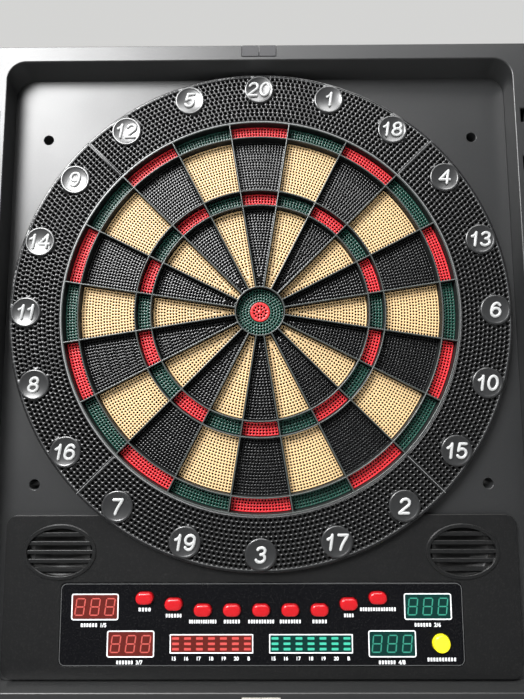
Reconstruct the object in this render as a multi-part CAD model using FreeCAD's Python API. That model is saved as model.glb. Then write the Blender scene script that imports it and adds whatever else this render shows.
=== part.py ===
# Electronic dartboard in a shallow cabinet with two doors. All sizes are in millimetres.
# +X is right and +Z is up as the player sees it, and +Y points into the wall, so the board faces -Y.
# The origin is on the wall plane, at the centre of the four wall screws.
# Angles on the board are clockwise from the top, and the doors are modelled fully open.
import FreeCAD, Part
import math
import os

V = FreeCAD.Vector

# ---------------------------------------------------------------- driving dimensions
# Target
TARGET_R = 171.5          # middle of the outermost wall of the number cells
DOUBLE_W = 14.0           # double band, wall middle to wall middle
TRIPLE_R = 108.2          # outer wall of the triple band
TRIPLE_W = 13.7
BULL_R = 21.2             # wall round the outer bull
INNER_BULL_R = 8.6
CELL_WALL = 1.2           # thickness of every cell wall
CELL_GAP = 0.35           # segment to cell wall
LIP_W = 0.65              # how far a segment's lip reaches under the walls
LIP_T = 2.0
SEG_TRAVEL = 1.0          # how far a dart pushes a segment in
INNER_BULL_PROUD = 1.0

# Depths: the tray floor is counted from the rim, and what stands on it from the floor
CAB_D = 50.0
RECESS = 18.0             # rim to tray floor
WALLS_UP = 11.0           # front edge of the cell walls, above the floor
FACES_UP = 4.0            # front face of the segments and of the control panel, above the floor
RING_UP = 9.0             # front face of the catch ring, above the floor

# Cabinet
RING_W = 46.5             # catch ring, from TARGET_R to its outer edge
SIDE_MARGIN = 7.0         # catch ring to the side wall of the tray
TOP_MARGIN = 8.0
RIM_W = 14.2
WALL = 2.6
TOP_DRAFT = 7.0           # the tray's top wall leans back by this much
CORNER_R = 3.5
TRAY_CORNER_R = 16.5
BULL_BELOW_SCREWS = 7.0   # bull centre below the wall screws' centre
SCREW_RISE = 309.4        # wall screws, upper pair to lower pair
SCREW_INSET = 31.5        # wall screw to the side wall of the tray
SCREW_HEAD_R = 4.4
SCREW_HOLE_R = 2.5
TUBE_R = 7.4
TUBE_END = 3.0            # plastic under the wall screw's head
COVER_T = 2.5
COVER_GAP = 0.4
BOSS_R = 4.0
COVER_SCREW_R = 1.5

# Catch ring and number discs
RING_LIP_W = 4.0
RING_T = 2.6
SEAM = 0.3
DISC_R = 12.75
DISC_T = 1.5
DISC_RADIUS = 203.0 - 171.5   # disc centres outside TARGET_R
SPIGOT_R = 2.5
FLANGE_W = 28.5           # clamping flange of the cell grid, outside TARGET_R
FLANGE_T = 2.6
FLOOR_HOLE_W = 16.5       # hole in the tray floor, outside TARGET_R
CLAMP_SCREW_W = 22.5      # clamp screws, outside TARGET_R
CLAMP_SCREW_R = 1.5
CLAMP_SCREWS = 12

# Sensor stack
PAD_T = 1.5
FILM_T = 0.5
FILM_W = 4.5              # film's edge outside TARGET_R
BACKPLATE_T = 3.0
RIB_H = 6.0
TAIL_W = 40.0

# Control panel, heights counted down from the bull
PANEL_TOP_UP = 45.5       # panel's top edge above the catch ring's lowest point
PANEL_DROP = 84.5         # panel's bottom edge below the catch ring's lowest point
PANEL_SIDE_GAP = 11.3     # panel to the side wall of the tray
PANEL_BOTTOM_GAP = 2.7
PANEL_R = 9.0
PANEL_T = 2.6
RING_GAP = 0.6
FASCIA_W = 332.0
FASCIA_H = 65.5
FASCIA_UP = 10.2          # fascia above the panel's bottom edge
FASCIA_R = 5.0
FASCIA_T = 1.4
FASCIA_PROUD = 0.5
WINDOW_GAP = 0.1
SPEAKER_IN = 45.7         # speaker centre from the panel's side and top edges
SPEAKER_DOWN = 29.8
GRILLE_W = 61.0
GRILLE_H = 44.7
GRILLE_BEAD = 3.0
SLOT_PITCH = 7.1
SLOT_BAR = 3.2
SLOTS = 6
SPEAKER_R = 25.0

# Displays (x, height above the fascia's bottom edge, width, height) on the left half
SCORE_SIZE = (40.0, 23.0)
CRICKET_SIZE = (69.6, 16.9)
DISPLAY_PLACES = ((137.0, 46.5, SCORE_SIZE), (107.0, 17.5, SCORE_SIZE), (40.7, 17.6, CRICKET_SIZE))
LENS_T = 2.1
MODULE_T = 8.0
MODULE_INSET = 1.0

# Push buttons (distance from the middle, height above the fascia's bottom edge)
BUTTON_PLACES = ((0.0, 44.1), (24.0, 44.1), (48.0, 44.1), (72.0, 48.8), (96.0, 53.6))
BUTTON_W = 15.2
BUTTON_H = 9.9
START_PLACE = (146.8, 18.0)
START_R = 7.3
BUTTON_PROUD = 3.5
BUTTON_GAP = 0.3
BUTTON_FLANGE = 1.2
BUTTON_TRAVEL = 1.0
BUTTON_STEM_R = 3.0

# Circuit board
BOARD_T = 1.6
BOARD_W = 340.0
BOARD_H = 62.0
SWITCH_W = 6.0
SWITCH_H = 3.6
STUD_R = 3.0
SMALL_SCREW_R = 1.1
# Board studs (distance from the middle, height above the fascia's bottom edge)
STUD_PLACES = ((165.0, 56.3), (165.0, 5.3), (60.0, 60.3))

# Doors and hinges
DOOR_T = 18.0
DOOR_GAP = 0.5            # to the cabinet, all round
DOOR_WALL = 3.0
DOOR_BASE = 3.0
SKIN_T = 2.0
SKIN_INSET = 4.0
HINGE_HEIGHTS = (143.3, -250.0)
LUG_H = 31.4
WINDOW_H = 12.5
WINDOW_W = 9.0
WINDOW_D = 7.0
KNUCKLE_H = 9.5
KNUCKLE_R = 4.5
PIN_R = 1.5
PIN_GAP = 0.05
SWING_GAP = 0.6
CATCH_W = 15.1
CATCH_H = 10.6
CATCH_D = 8.0
CATCH_GAP = 0.15
STRIKER = (10.0, 1.2, 9.0)
STRIKER_INSET = 1.6       # striker to the door's inner walls
RACK_W = 150.0
RACK_D = 10.0
RACK_BAR = 12.0
RACK_SPAN = 112.0
RACK_SLOT = 7.5
RACK_PITCH = 50.0

# Power socket in the cabinet's bottom wall
JACK_X = 140.0
JACK_Y = -16.0
JACK_SIZE = (14.0, 12.0, 11.0)
JACK_NOSE_R = 4.4
JACK_BORE_R = 2.8
JACK_BORE_L = 9.6
JACK_PIN_R = 1.0

# ---------------------------------------------------------------- what follows from them
BULL_Z = -BULL_BELOW_SCREWS
RING_OUT = TARGET_R + RING_W
TRAY_X = RING_OUT + SIDE_MARGIN
CAB_X = TRAY_X + RIM_W
TRAY_TOP = BULL_Z + RING_OUT + TOP_MARGIN
CAB_TOP = TRAY_TOP + RIM_W
PANEL_LOW = BULL_Z - RING_OUT - PANEL_DROP
PANEL_HIGH = BULL_Z - RING_OUT + PANEL_TOP_UP
TRAY_LOW = PANEL_LOW - PANEL_BOTTOM_GAP
CAB_LOW = TRAY_LOW - RIM_W
PANEL_X = TRAY_X - PANEL_SIDE_GAP
SCREW_X = TRAY_X - SCREW_INSET

Y_RIM = -CAB_D
Y_FLOOR = Y_RIM + RECESS
Y_FLOOR_BACK = Y_FLOOR + WALL
Y_WALLS = Y_FLOOR - WALLS_UP
Y_FACE = Y_FLOOR - FACES_UP
Y_RING = Y_FLOOR - RING_UP
Y_WALLS_BACK = Y_FLOOR + 0.8
Y_LIP = Y_WALLS_BACK + 0.2
Y_SEG_BACK = Y_LIP + LIP_T
Y_PAD = Y_SEG_BACK + SEG_TRAVEL + 0.2
Y_FLANGE_BACK = Y_FLOOR_BACK + FLANGE_T
Y_FILM = Y_PAD + PAD_T
Y_BACKPLATE = Y_FILM + FILM_T
Y_BACKPLATE_BACK = Y_BACKPLATE + BACKPLATE_T

FASCIA_LOW = PANEL_LOW + FASCIA_UP
Y_FASCIA = Y_FACE - FASCIA_PROUD
Y_FASCIA_BACK = Y_FASCIA + FASCIA_T
Y_PANEL_BACK = Y_FACE + PANEL_T
Y_MODULE = Y_FASCIA + LENS_T
Y_BOARD = Y_MODULE + MODULE_T
Y_BOARD_BACK = Y_BOARD + BOARD_T
Y_SWITCH = Y_BOARD - SWITCH_H
Y_BUTTON = Y_FASCIA - BUTTON_PROUD
Y_STEM = Y_SWITCH - BUTTON_TRAVEL - 0.2
BOARD_LOW = FASCIA_LOW + 1.3

DOUBLE_IN = TARGET_R - DOUBLE_W
TRIPLE_IN = TRIPLE_R - TRIPLE_W
DOOR_X0 = CAB_X + DOOR_GAP
DOOR_X1 = 2 * CAB_X - DOOR_GAP
Y_DOOR = Y_RIM + DOOR_GAP
Y_DOOR_BACK = Y_DOOR + DOOR_T
Y_SKIN = Y_DOOR_BACK - SKIN_T
Y_DOOR_BASE = Y_SKIN - DOOR_BASE

SECTOR = 18.0             # degrees per number
BLACK_SECTORS = range(0, 20, 2)
PALE_SECTORS = range(1, 20, 2)


# ---------------------------------------------------------------- small tools
def box(x0, x1, y0, y1, z0, z1):
    return Part.makeBox(x1 - x0, y1 - y0, z1 - z0, V(x0, y0, z0))


def rod(x, z, r, y0, y1):
    """Cylinder that runs front to back."""
    return Part.makeCylinder(r, y1 - y0, V(x, y0, z), V(0, 1, 0))


def post(x, y, r, z0, z1):
    """Cylinder that runs bottom to top."""
    return Part.makeCylinder(r, z1 - z0, V(x, y, z0), V(0, 0, 1))


def tube(x, z, r_in, r_out, y0, y1):
    return rod(x, z, r_out, y0, y1).cut(rod(x, z, r_in, y0 - 1, y1 + 1))


def fuse(shapes):
    first = shapes[0]
    return first.fuse(shapes[1:]).removeSplitter() if len(shapes) > 1 else first


def cut(shape, tools):
    return shape.cut(tools) if tools else shape


def rounded_wire(x0, x1, z0, z1, r, y):
    """Rectangle with round corners, flat at depth y."""
    k = r * (1 - math.sqrt(0.5))
    corners = (((x1 - r, z1), (x1 - k, z1 - k), (x1, z1 - r)), ((x1, z0 + r), (x1 - k, z0 + k), (x1 - r, z0)),
               ((x0 + r, z0), (x0 + k, z0 + k), (x0, z0 + r)), ((x0, z1 - r), (x0 + k, z1 - k), (x0 + r, z1)))
    edges = []
    for i, corner in enumerate(corners):
        start, middle, end = (V(x, y, z) for x, z in corner)
        following = corners[(i + 1) % 4][0]
        edges.append(Part.Arc(start, middle, end).toShape())
        edges.append(Part.LineSegment(end, V(following[0], y, following[1])).toShape())
    return Part.Wire(edges)


def plate(x0, x1, z0, z1, r, y0, y1):
    return Part.Face(rounded_wire(x0, x1, z0, z1, r, y0)).extrude(V(0, y1 - y0, 0))


def pill(x, z, w, h, y0, y1):
    """Block with two half-round ends."""
    straight = w / 2 - h / 2
    parts = [rod(x - straight, z, h / 2, y0, y1), rod(x + straight, z, h / 2, y0, y1)]
    return fuse(parts + [box(x - straight, x + straight, y0, y1, z - h / 2, z + h / 2)])


def oval(x, z, w, h, y0, y1):
    """Elliptic block."""
    ellipse = Part.Ellipse(V(x, y0, z), w / 2, h / 2)
    ellipse.Axis = V(0, -1, 0)
    ellipse.XAxis = V(1, 0, 0)
    return Part.Face(Part.Wire(ellipse.toShape())).extrude(V(0, y1 - y0, 0))


def at(r, degrees):
    """Point on the board: x, z."""
    a = math.radians(degrees)
    return r * math.sin(a), BULL_Z + r * math.cos(a)


def point(r, degrees, y):
    x, z = at(r, degrees)
    return V(x, y, z)


def turn(shape, degrees):
    """Turns a shape clockwise round the bull."""
    turned = shape.copy()
    turned.rotate(V(0, 0, BULL_Z), V(0, 1, 0), degrees)
    return turned


def mirrored(shape):
    return shape.mirror(V(0, 0, 0), V(1, 0, 0))


def both_sides(shape):
    return [shape, mirrored(shape)]


def round_front(shape, y, radius):
    """Rounds the edges that lie on the plane y."""
    edges = [e for e in shape.Edges if abs(e.BoundBox.YMin - y) < 1e-6 and abs(e.BoundBox.YMax - y) < 1e-6]
    return shape.makeFillet(radius, edges)


def screw(x, z, r, y_head, y_tip, head_r, head_h):
    """Pan-head screw driven towards -Y, with a cross recess."""
    body = rod(x, z, r, y_tip, y_head).fuse(rod(x, z, head_r, y_head, y_head + head_h))
    slot = head_r * 0.6
    recess = (box(x - slot, x + slot, y_head + head_h / 2, y_head + head_h + 1, z - r / 4, z + r / 4),
              box(x - r / 4, x + r / 4, y_head + head_h / 2, y_head + head_h + 1, z - slot, z + slot))
    return body.cut(list(recess))


# ---------------------------------------------------------------- cabinet
def tray_block(outset, y_back):
    """Space of the tray, grown outwards by outset, from the rim to y_back."""
    lean = TOP_DRAFT * (y_back - Y_RIM) / RECESS
    front = rounded_wire(-TRAY_X - outset, TRAY_X + outset, TRAY_LOW - outset, TRAY_TOP + outset,
                         TRAY_CORNER_R + outset, Y_RIM)
    back = rounded_wire(-TRAY_X - outset, TRAY_X + outset, TRAY_LOW - outset, TRAY_TOP + outset - lean,
                        TRAY_CORNER_R + outset, y_back)
    return Part.makeLoft([front, back], True, True)


def wall_screw_places():
    return [(sx * SCREW_X, sz * SCREW_RISE / 2) for sx in (-1, 1) for sz in (-1, 1)]


def cover_screw_places():
    x_edge = CAB_X - WALL - COVER_GAP - BOSS_R - 4.6
    z_high = CAB_TOP - WALL - COVER_GAP - BOSS_R - 4.6
    z_low = CAB_LOW + WALL + COVER_GAP + BOSS_R + 4.6
    rows = [z_low + (z_high - z_low) * k / 4 for k in range(5)]
    sides = [(s * x_edge, z) for s in (-1, 1) for z in rows]
    ends = [(s * x_edge / 3, z) for s in (-1, 1) for z in (z_low, z_high)]
    return sides + ends


def panel_screw_places():
    low = PANEL_LOW + 4.6
    half = ((PANEL_X - 8.7, PANEL_HIGH - 9.5), (PANEL_X - 8.7, low), (70.0, low))
    return [(s * x, z) for s in (-1, 1) for x, z in half]


def speaker_places():
    return [(s * (PANEL_X - SPEAKER_IN), PANEL_HIGH - SPEAKER_DOWN) for s in (-1, 1)]


def clamp_places():
    return [at(TARGET_R + CLAMP_SCREW_W, 360.0 * k / CLAMP_SCREWS) for k in range(CLAMP_SCREWS)]


def electronics_hole():
    """Opening in the tray floor behind the control panel."""
    x = FASCIA_W / 2 + 10
    return box(-x, x, Y_FLOOR - 1, Y_FLOOR_BACK + 1, FASCIA_LOW - 1, FASCIA_LOW + FASCIA_H + 1)


def catch_boxes(sign):
    """Left and right halves of the door catch at the top (+1) or the bottom (-1)."""
    edge = CAB_TOP if sign > 0 else CAB_LOW
    z0, z1 = sorted((edge, edge - sign * CATCH_H))
    half = box(CATCH_GAP, CATCH_GAP + CATCH_W, Y_RIM, Y_RIM + CATCH_D, z0, z1)
    return both_sides(half)


def hinge_windows(x_in, x_out, gap):
    """Pockets in the rim, two to a hinge, that the door's knuckles stand in."""
    tools = []
    for z in HINGE_HEIGHTS:
        for sign in (-1, 1):
            z0, z1 = sorted((z + sign * LUG_H / 2, z + sign * (LUG_H / 2 + WINDOW_H)))
            tools.append(box(x_in, x_out, Y_RIM - 1, Y_RIM + WINDOW_D, z0, z1))
            tools.append(post(CAB_X, Y_RIM, KNUCKLE_R + gap, z0, z1))
    return tools


def cabinet_frame():
    outer = plate(-CAB_X, CAB_X, CAB_LOW, CAB_TOP, CORNER_R, Y_RIM, 0)
    hollow = plate(-CAB_X + WALL, CAB_X - WALL, CAB_LOW + WALL, CAB_TOP - WALL, CORNER_R - 1, Y_RIM + WALL, 1)
    bosses = [rod(x, z, BOSS_R, Y_RIM + 1, -COVER_T) for x, z in cover_screw_places()]
    shell = fuse([outer.cut(hollow), tray_block(WALL, Y_FLOOR_BACK)] + bosses)
    shell = shell.cut(tray_block(0, Y_FLOOR_BACK + 1))
    added = []
    for sign, edge in ((1, CAB_TOP), (-1, CAB_LOW)):
        z0, z1 = sorted((edge - sign * 1.0, edge - sign * (RIM_W - 1.0)))
        added.append(box(-CATCH_W - 3, CATCH_W + 3, Y_RIM + CATCH_D, Y_RIM + CATCH_D + 5, z0, z1))
    shell = fuse([shell] + added)

    tools = [rod(x, z, COVER_SCREW_R, -20, 0) for x, z in cover_screw_places()]
    for sign in (1, -1):
        bounds = [part.BoundBox for part in catch_boxes(sign)]
        z0 = min(b.ZMin for b in bounds) - (CATCH_GAP if sign > 0 else 1)
        z1 = max(b.ZMax for b in bounds) + (1 if sign > 0 else CATCH_GAP)
        reach = CATCH_W + 2 * CATCH_GAP
        tools.append(box(-reach, reach, Y_RIM - 1, Y_RIM + CATCH_D, z0, z1))
    windows = hinge_windows(CAB_X - WINDOW_W, CAB_X + 1, SWING_GAP)
    tools += windows + [mirrored(w) for w in windows]
    tools.append(post(JACK_X, JACK_Y, JACK_NOSE_R, CAB_LOW - 1, CAB_LOW + WALL + 1))
    shell = shell.cut(tools)

    lugs = []
    for z in HINGE_HEIGHTS:
        lugs += both_sides(post(CAB_X, Y_RIM, KNUCKLE_R, z - LUG_H / 2, z + LUG_H / 2))
    shell = fuse([shell] + lugs)
    bores = []
    for z in HINGE_HEIGHTS:
        bores += both_sides(post(CAB_X, Y_RIM, PIN_R, z - LUG_H / 2 - 1, z + LUG_H / 2 + 1))
    return shell.cut(bores)


def tray_floor():
    """Floor of the tray between the frame's walls, with the tubes that the wall screws pass through."""
    slab = box(-CAB_X, CAB_X, Y_FLOOR, Y_FLOOR_BACK, CAB_LOW, CAB_TOP)
    floor = tray_block(0, Y_FLOOR_BACK).common(slab)
    floor = fuse([floor] + [rod(x, z, TUBE_R, Y_FLOOR, 0) for x, z in wall_screw_places()])
    tools = [rod(x, z, SCREW_HEAD_R, Y_FLOOR - 1, -TUBE_END) for x, z in wall_screw_places()]
    tools += [rod(x, z, SCREW_HOLE_R, -TUBE_END - 1, 1) for x, z in wall_screw_places()]
    tools.append(rod(0, BULL_Z, TARGET_R + FLOOR_HOLE_W, Y_FLOOR - 1, Y_FLOOR_BACK + 1))
    tools += [rod(x, z, CLAMP_SCREW_R, Y_FLOOR - 1, Y_FLOOR_BACK + 1) for x, z in clamp_places()]
    tools += [rod(x, z, SMALL_SCREW_R, Y_FLOOR - 1, Y_FLOOR_BACK + 1) for x, z in panel_screw_places()]
    tools += [rod(x, z, SPEAKER_R + 0.5, Y_FLOOR - 1, Y_FLOOR_BACK + 1) for x, z in speaker_places()]
    tools.append(electronics_hole())
    return floor.cut(tools)


def countersink(x, z):
    return Part.makeCone(COVER_SCREW_R, 2 * COVER_SCREW_R, COVER_SCREW_R, V(x, -COVER_SCREW_R, z), V(0, 1, 0))


def back_cover():
    edge = WALL + COVER_GAP
    cover = plate(-CAB_X + edge, CAB_X - edge, CAB_LOW + edge, CAB_TOP - edge, 2.0, -COVER_T, 0)
    x, z0, z1 = CAB_X - 50, CAB_LOW + 50, CAB_TOP - 50
    groove = plate(-x, x, z0, z1, 12, -1.0, 1).cut(plate(-x + 4, x - 4, z0 + 4, z1 - 4, 8, -2, 2))
    tools = [groove]
    tools += [rod(x, z, TUBE_R + 0.3, -COVER_T - 1, 1) for x, z in wall_screw_places()]
    for x, z in cover_screw_places():
        tools.append(countersink(x, z))
        tools.append(rod(x, z, COVER_SCREW_R, -COVER_T - 1, 1))
    for side in (-1, 1):
        for row in range(7):
            z = PANEL_LOW + 22 + 8 * row
            tools.append(pill(side * 100, z, 60, 3, -COVER_T - 1, 1))
    return cut(cover, tools)


def cover_screws():
    screws = []
    for x, z in cover_screw_places():
        head = countersink(x, z)
        body = head.fuse(rod(x, z, COVER_SCREW_R, -16, -COVER_SCREW_R))
        slots = [box(x - 1.8, x + 1.8, -0.8, 1, z - 0.35, z + 0.35)]
        slots.append(box(x - 0.35, x + 0.35, -0.8, 1, z - 1.8, z + 1.8))
        screws.append(body.cut(slots))
    return screws


def power_jack():
    w, d, h = JACK_SIZE
    inside = CAB_LOW + WALL
    body = box(JACK_X - w / 2, JACK_X + w / 2, JACK_Y - d / 2, JACK_Y + d / 2, inside, inside + h)
    body = body.fuse(post(JACK_X, JACK_Y, JACK_NOSE_R, CAB_LOW, inside))
    body = body.cut(post(JACK_X, JACK_Y, JACK_BORE_R, CAB_LOW - 1, CAB_LOW + JACK_BORE_L))
    return fuse([body, post(JACK_X, JACK_Y, JACK_PIN_R, CAB_LOW + 1, CAB_LOW + JACK_BORE_L + 1)])


# ---------------------------------------------------------------- target
def spider():
    """Grid of thin walls round the cells, with its clamping flange."""
    half = CELL_WALL / 2
    inner = (DOUBLE_IN, TRIPLE_R, TRIPLE_IN, BULL_R)
    parts = [tube(0, BULL_Z, r - half, r + half, Y_WALLS, Y_WALLS_BACK) for r in inner]
    parts.append(tube(0, BULL_Z, TARGET_R - half, TARGET_R + half, Y_WALLS, Y_FLANGE_BACK))
    spoke = box(-half, half, Y_WALLS, Y_WALLS_BACK, BULL_Z + BULL_R, BULL_Z + TARGET_R)
    parts += [turn(spoke, SECTOR * (k + 0.5)) for k in range(20)]
    parts.append(tube(0, BULL_Z, TARGET_R, TARGET_R + FLANGE_W, Y_FLOOR_BACK, Y_FLANGE_BACK))
    grid = fuse(parts)
    return grid.cut([rod(x, z, CLAMP_SCREW_R, Y_FLOOR, Y_FLANGE_BACK + 1) for x, z in clamp_places()])


def sector_block(r_in, r_out, side_gap, y0, y1):
    """Block between two radii, with sides parallel to the spokes, centred on the top."""
    half_in = SECTOR / 2 - math.degrees(math.asin(side_gap / r_in))
    half_out = SECTOR / 2 - math.degrees(math.asin(side_gap / r_out))
    a, b = point(r_in, -half_in, y0), point(r_out, -half_out, y0)
    c, d = point(r_out, half_out, y0), point(r_in, half_in, y0)
    edges = [Part.LineSegment(a, b), Part.Arc(b, point(r_out, 0, y0), c), Part.LineSegment(c, d),
             Part.Arc(d, point(r_in, 0, y0), a)]
    outline = Part.Wire([edge.toShape() for edge in edges])
    return Part.Face(outline).extrude(V(0, y1 - y0, 0))


def segment(wall_in, wall_out, outer_lip):
    """One segment: a plate that fills its cell and a lip that keeps it behind the walls."""
    gap = CELL_WALL / 2 + CELL_GAP
    front = sector_block(wall_in + gap, wall_out - gap, gap, Y_FACE, Y_LIP)
    lip = sector_block(wall_in + gap - LIP_W, wall_out - gap + outer_lip, gap - LIP_W, Y_LIP, Y_SEG_BACK)
    return fuse([front, lip])


def segments(band, sectors):
    wall_in, wall_out, outer_lip = band
    first = segment(wall_in, wall_out, outer_lip)
    return [turn(first, SECTOR * k) for k in sectors]


def outer_bull():
    gap = CELL_WALL / 2 + CELL_GAP
    front = rod(0, BULL_Z, BULL_R - gap, Y_FACE, Y_LIP)
    lip = rod(0, BULL_Z, BULL_R - gap + LIP_W, Y_LIP, Y_SEG_BACK)
    return fuse([front, lip]).cut(rod(0, BULL_Z, INNER_BULL_R + CELL_GAP, Y_FACE - 1, Y_SEG_BACK + 1))


def inner_bull():
    return rod(0, BULL_Z, INNER_BULL_R, Y_FACE - INNER_BULL_PROUD, Y_SEG_BACK)


def catch_ring(centre):
    """Quarter of the pitted ring that catches stray darts, centred on one angle."""
    r0, r1 = TARGET_R + 2.5, RING_OUT
    lip = r1 - RING_LIP_W
    outline = ((r0, Y_FLOOR), (r0, Y_RING), (lip, Y_RING), (r1, Y_RING + 2.5), (r1, Y_FLOOR),
               (r1 - RING_T, Y_FLOOR), (r1 - RING_T, Y_RING + RING_T + 1.0), (lip, Y_RING + RING_T),
               (r0 + RING_T, Y_RING + RING_T), (r0 + RING_T, Y_FLOOR))
    corners = [V(r, y, BULL_Z) for r, y in outline]
    profile = Part.Face(Part.makePolygon(corners + corners[:1]))
    seam = math.degrees(SEAM / 2 / ((r0 + r1) / 2))
    quarter = profile.revolve(V(0, 0, BULL_Z), V(0, 1, 0), 90 - 2 * seam)
    quarter = turn(quarter, centre - 45 + seam - 90)

    step = 360.0 / CLAMP_SCREWS
    angles = [centre + step * k for k in (-1, 0, 1)]
    bosses = [rod(*at(TARGET_R + CLAMP_SCREW_W, a), BOSS_R, Y_RING + 1, Y_FLOOR) for a in angles]
    quarter = fuse([quarter] + bosses)
    tools = [rod(*at(TARGET_R + CLAMP_SCREW_W, a), CLAMP_SCREW_R, Y_RING + RING_T, Y_FLOOR + 1) for a in angles]
    for k in range(-2, 3):
        place = at(TARGET_R + DISC_RADIUS, centre + SECTOR * k)
        tools.append(rod(*place, SPIGOT_R, Y_RING - 1, Y_RING + RING_T + 1))
    return quarter.cut(tools)


def number_disc(k):
    place = at(TARGET_R + DISC_RADIUS, SECTOR * k)
    disc = round_front(rod(*place, DISC_R, Y_RING - DISC_T, Y_RING), Y_RING - DISC_T, 0.5)
    return fuse([disc, rod(*place, SPIGOT_R, Y_RING, Y_RING + RING_T)])


def sensor_pad():
    return rod(0, BULL_Z, TARGET_R - CELL_WALL / 2 - CELL_GAP, Y_PAD, Y_FILM)


def connector_top():
    return BOARD_LOW + BOARD_H


def sensor_membrane():
    """Printed film, with a flat tail that steps forward into the board's connector."""
    film = rod(0, BULL_Z, TARGET_R + FILM_W, Y_FILM, Y_BACKPLATE)
    step = Y_BOARD - 1.6 - Y_FILM
    edge = BULL_Z - TARGET_R
    bend = edge - FLANGE_W - 3
    path = ((edge, 0), (bend, 0), (connector_top() + 4, step), (connector_top() - 3, step))
    front = [V(-TAIL_W / 2, Y_FILM + y, z) for z, y in path]
    back = [V(-TAIL_W / 2, Y_BACKPLATE + y, z) for z, y in reversed(path)]
    tail = Part.Face(Part.makePolygon(front + back + front[:1])).extrude(V(TAIL_W, 0, 0))
    holes = [rod(x, z, CLAMP_SCREW_R + 0.5, Y_FILM - 1, Y_BACKPLATE + 1) for x, z in clamp_places()]
    return fuse([film, tail]).cut(holes)


def target_backplate():
    r = TARGET_R + FLANGE_W
    disc = rod(0, BULL_Z, r, Y_BACKPLATE, Y_BACKPLATE_BACK)
    rim = tube(0, BULL_Z, TARGET_R + FILM_W + 1, r, Y_FLANGE_BACK, Y_BACKPLATE)
    ribs = [tube(0, BULL_Z, k * r / 4, k * r / 4 + 2.4, Y_BACKPLATE_BACK, Y_BACKPLATE_BACK + RIB_H) for k in (1, 2, 3)]
    spoke = box(-1.2, 1.2, Y_BACKPLATE_BACK, Y_BACKPLATE_BACK + RIB_H, BULL_Z + r / 4, BULL_Z + 3 * r / 4)
    spokes = [turn(spoke, 45 * k) for k in range(8)]
    solid = fuse([disc, rim] + ribs + spokes)
    slot = box(-TAIL_W / 2 - 1, TAIL_W / 2 + 1, Y_FLANGE_BACK - 1, Y_BACKPLATE, BULL_Z - r - 1, BULL_Z - TARGET_R)
    holes = [rod(x, z, CLAMP_SCREW_R, Y_FLANGE_BACK - 1, Y_BACKPLATE_BACK + 1) for x, z in clamp_places()]
    return solid.cut([slot] + holes)


def target_screws():
    tip = Y_RING + RING_T + 1.0
    return [screw(x, z, CLAMP_SCREW_R, Y_BACKPLATE_BACK, tip, 2.9, 2.0) for x, z in clamp_places()]


# ---------------------------------------------------------------- control panel
def panel_block(inset, y0, y1):
    """Panel outline, cut to follow the catch ring."""
    block = plate(-PANEL_X + inset, PANEL_X - inset, PANEL_LOW + inset, PANEL_HIGH - inset, PANEL_R - inset, y0, y1)
    return block.cut(rod(0, BULL_Z, RING_OUT + RING_GAP + inset, y0 - 1, y1 + 1))


def fascia_block(gap, y0, y1):
    half = FASCIA_W / 2 + gap
    return plate(-half, half, FASCIA_LOW - gap, FASCIA_LOW + FASCIA_H + gap, FASCIA_R, y0, y1)


def display_block(display, grow, y0, y1):
    x, up, (w, h) = display
    z = FASCIA_LOW + up
    return plate(-x - w / 2 - grow, -x + w / 2 + grow, z - h / 2 - grow, z + h / 2 + grow, 1.0, y0, y1)


def button_places():
    """Every button from left to right: x, z."""
    places = [(-x, up) for x, up in reversed(BUTTON_PLACES[1:])] + list(BUTTON_PLACES)
    return [(x, FASCIA_LOW + up) for x, up in places]


def start_place():
    return START_PLACE[0], FASCIA_LOW + START_PLACE[1]


def stud_places():
    return [(s * x, FASCIA_LOW + up) for s in (-1, 1) for x, up in STUD_PLACES]


def panel_windows():
    """Cutters for the displays and the buttons, through the panel and its fascia."""
    y0, y1 = Y_FASCIA - 1, Y_PANEL_BACK + 1
    tools = []
    for display in DISPLAY_PLACES:
        tools += both_sides(display_block(display, WINDOW_GAP, y0, y1))
    tools += [pill(x, z, BUTTON_W + 2 * BUTTON_GAP, BUTTON_H + 2 * BUTTON_GAP, y0, y1) for x, z in button_places()]
    tools.append(rod(*start_place(), START_R + BUTTON_GAP, y0, y1))
    return tools


def grille(x, z):
    """Bead round a speaker grille, and its slots."""
    bead = oval(x, z, GRILLE_W, GRILLE_H, Y_FACE - 0.9, Y_FACE + 0.5)
    inside = oval(x, z, GRILLE_W - 2 * GRILLE_BEAD, GRILLE_H - 2 * GRILLE_BEAD, Y_FACE - 2, Y_PANEL_BACK + 2)
    bead = bead.cut(inside)
    slots = []
    for k in range(SLOTS):
        middle = z + (k - (SLOTS - 1) / 2) * SLOT_PITCH
        half = (SLOT_PITCH - SLOT_BAR) / 2
        bar = box(x - GRILLE_W, x + GRILLE_W, Y_FACE - 2, Y_PANEL_BACK + 2, middle - half, middle + half)
        slots.append(bar.common(inside))
    return bead, slots


def control_housing():
    skirt = panel_block(0, Y_FACE, Y_FLOOR)
    body = skirt.cut(panel_block(PANEL_T, Y_PANEL_BACK, Y_FLOOR + 1))
    added, tools = [], []
    for x, z in speaker_places():
        bead, slots = grille(x, z)
        added.append(bead)
        tools += slots
    added += [rod(x, z, 3.4, Y_PANEL_BACK, Y_FLOOR) for x, z in panel_screw_places()]
    added += [rod(x, z, STUD_R, Y_PANEL_BACK, Y_BOARD) for x, z in stud_places()]
    body = fuse([body] + added)
    tools.append(fascia_block(0.1, Y_FASCIA - 1, Y_FASCIA_BACK))
    tools += panel_windows()
    tools += [rod(x, z, SMALL_SCREW_R, Y_FACE + 1.4, Y_FLOOR + 1) for x, z in panel_screw_places()]
    tools += [rod(x, z, SMALL_SCREW_R, Y_PANEL_BACK + 1, Y_BOARD + 1) for x, z in stud_places()]
    return body.cut(tools)


def control_fascia():
    return fascia_block(0, Y_FASCIA, Y_FASCIA_BACK).cut(panel_windows())


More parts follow.
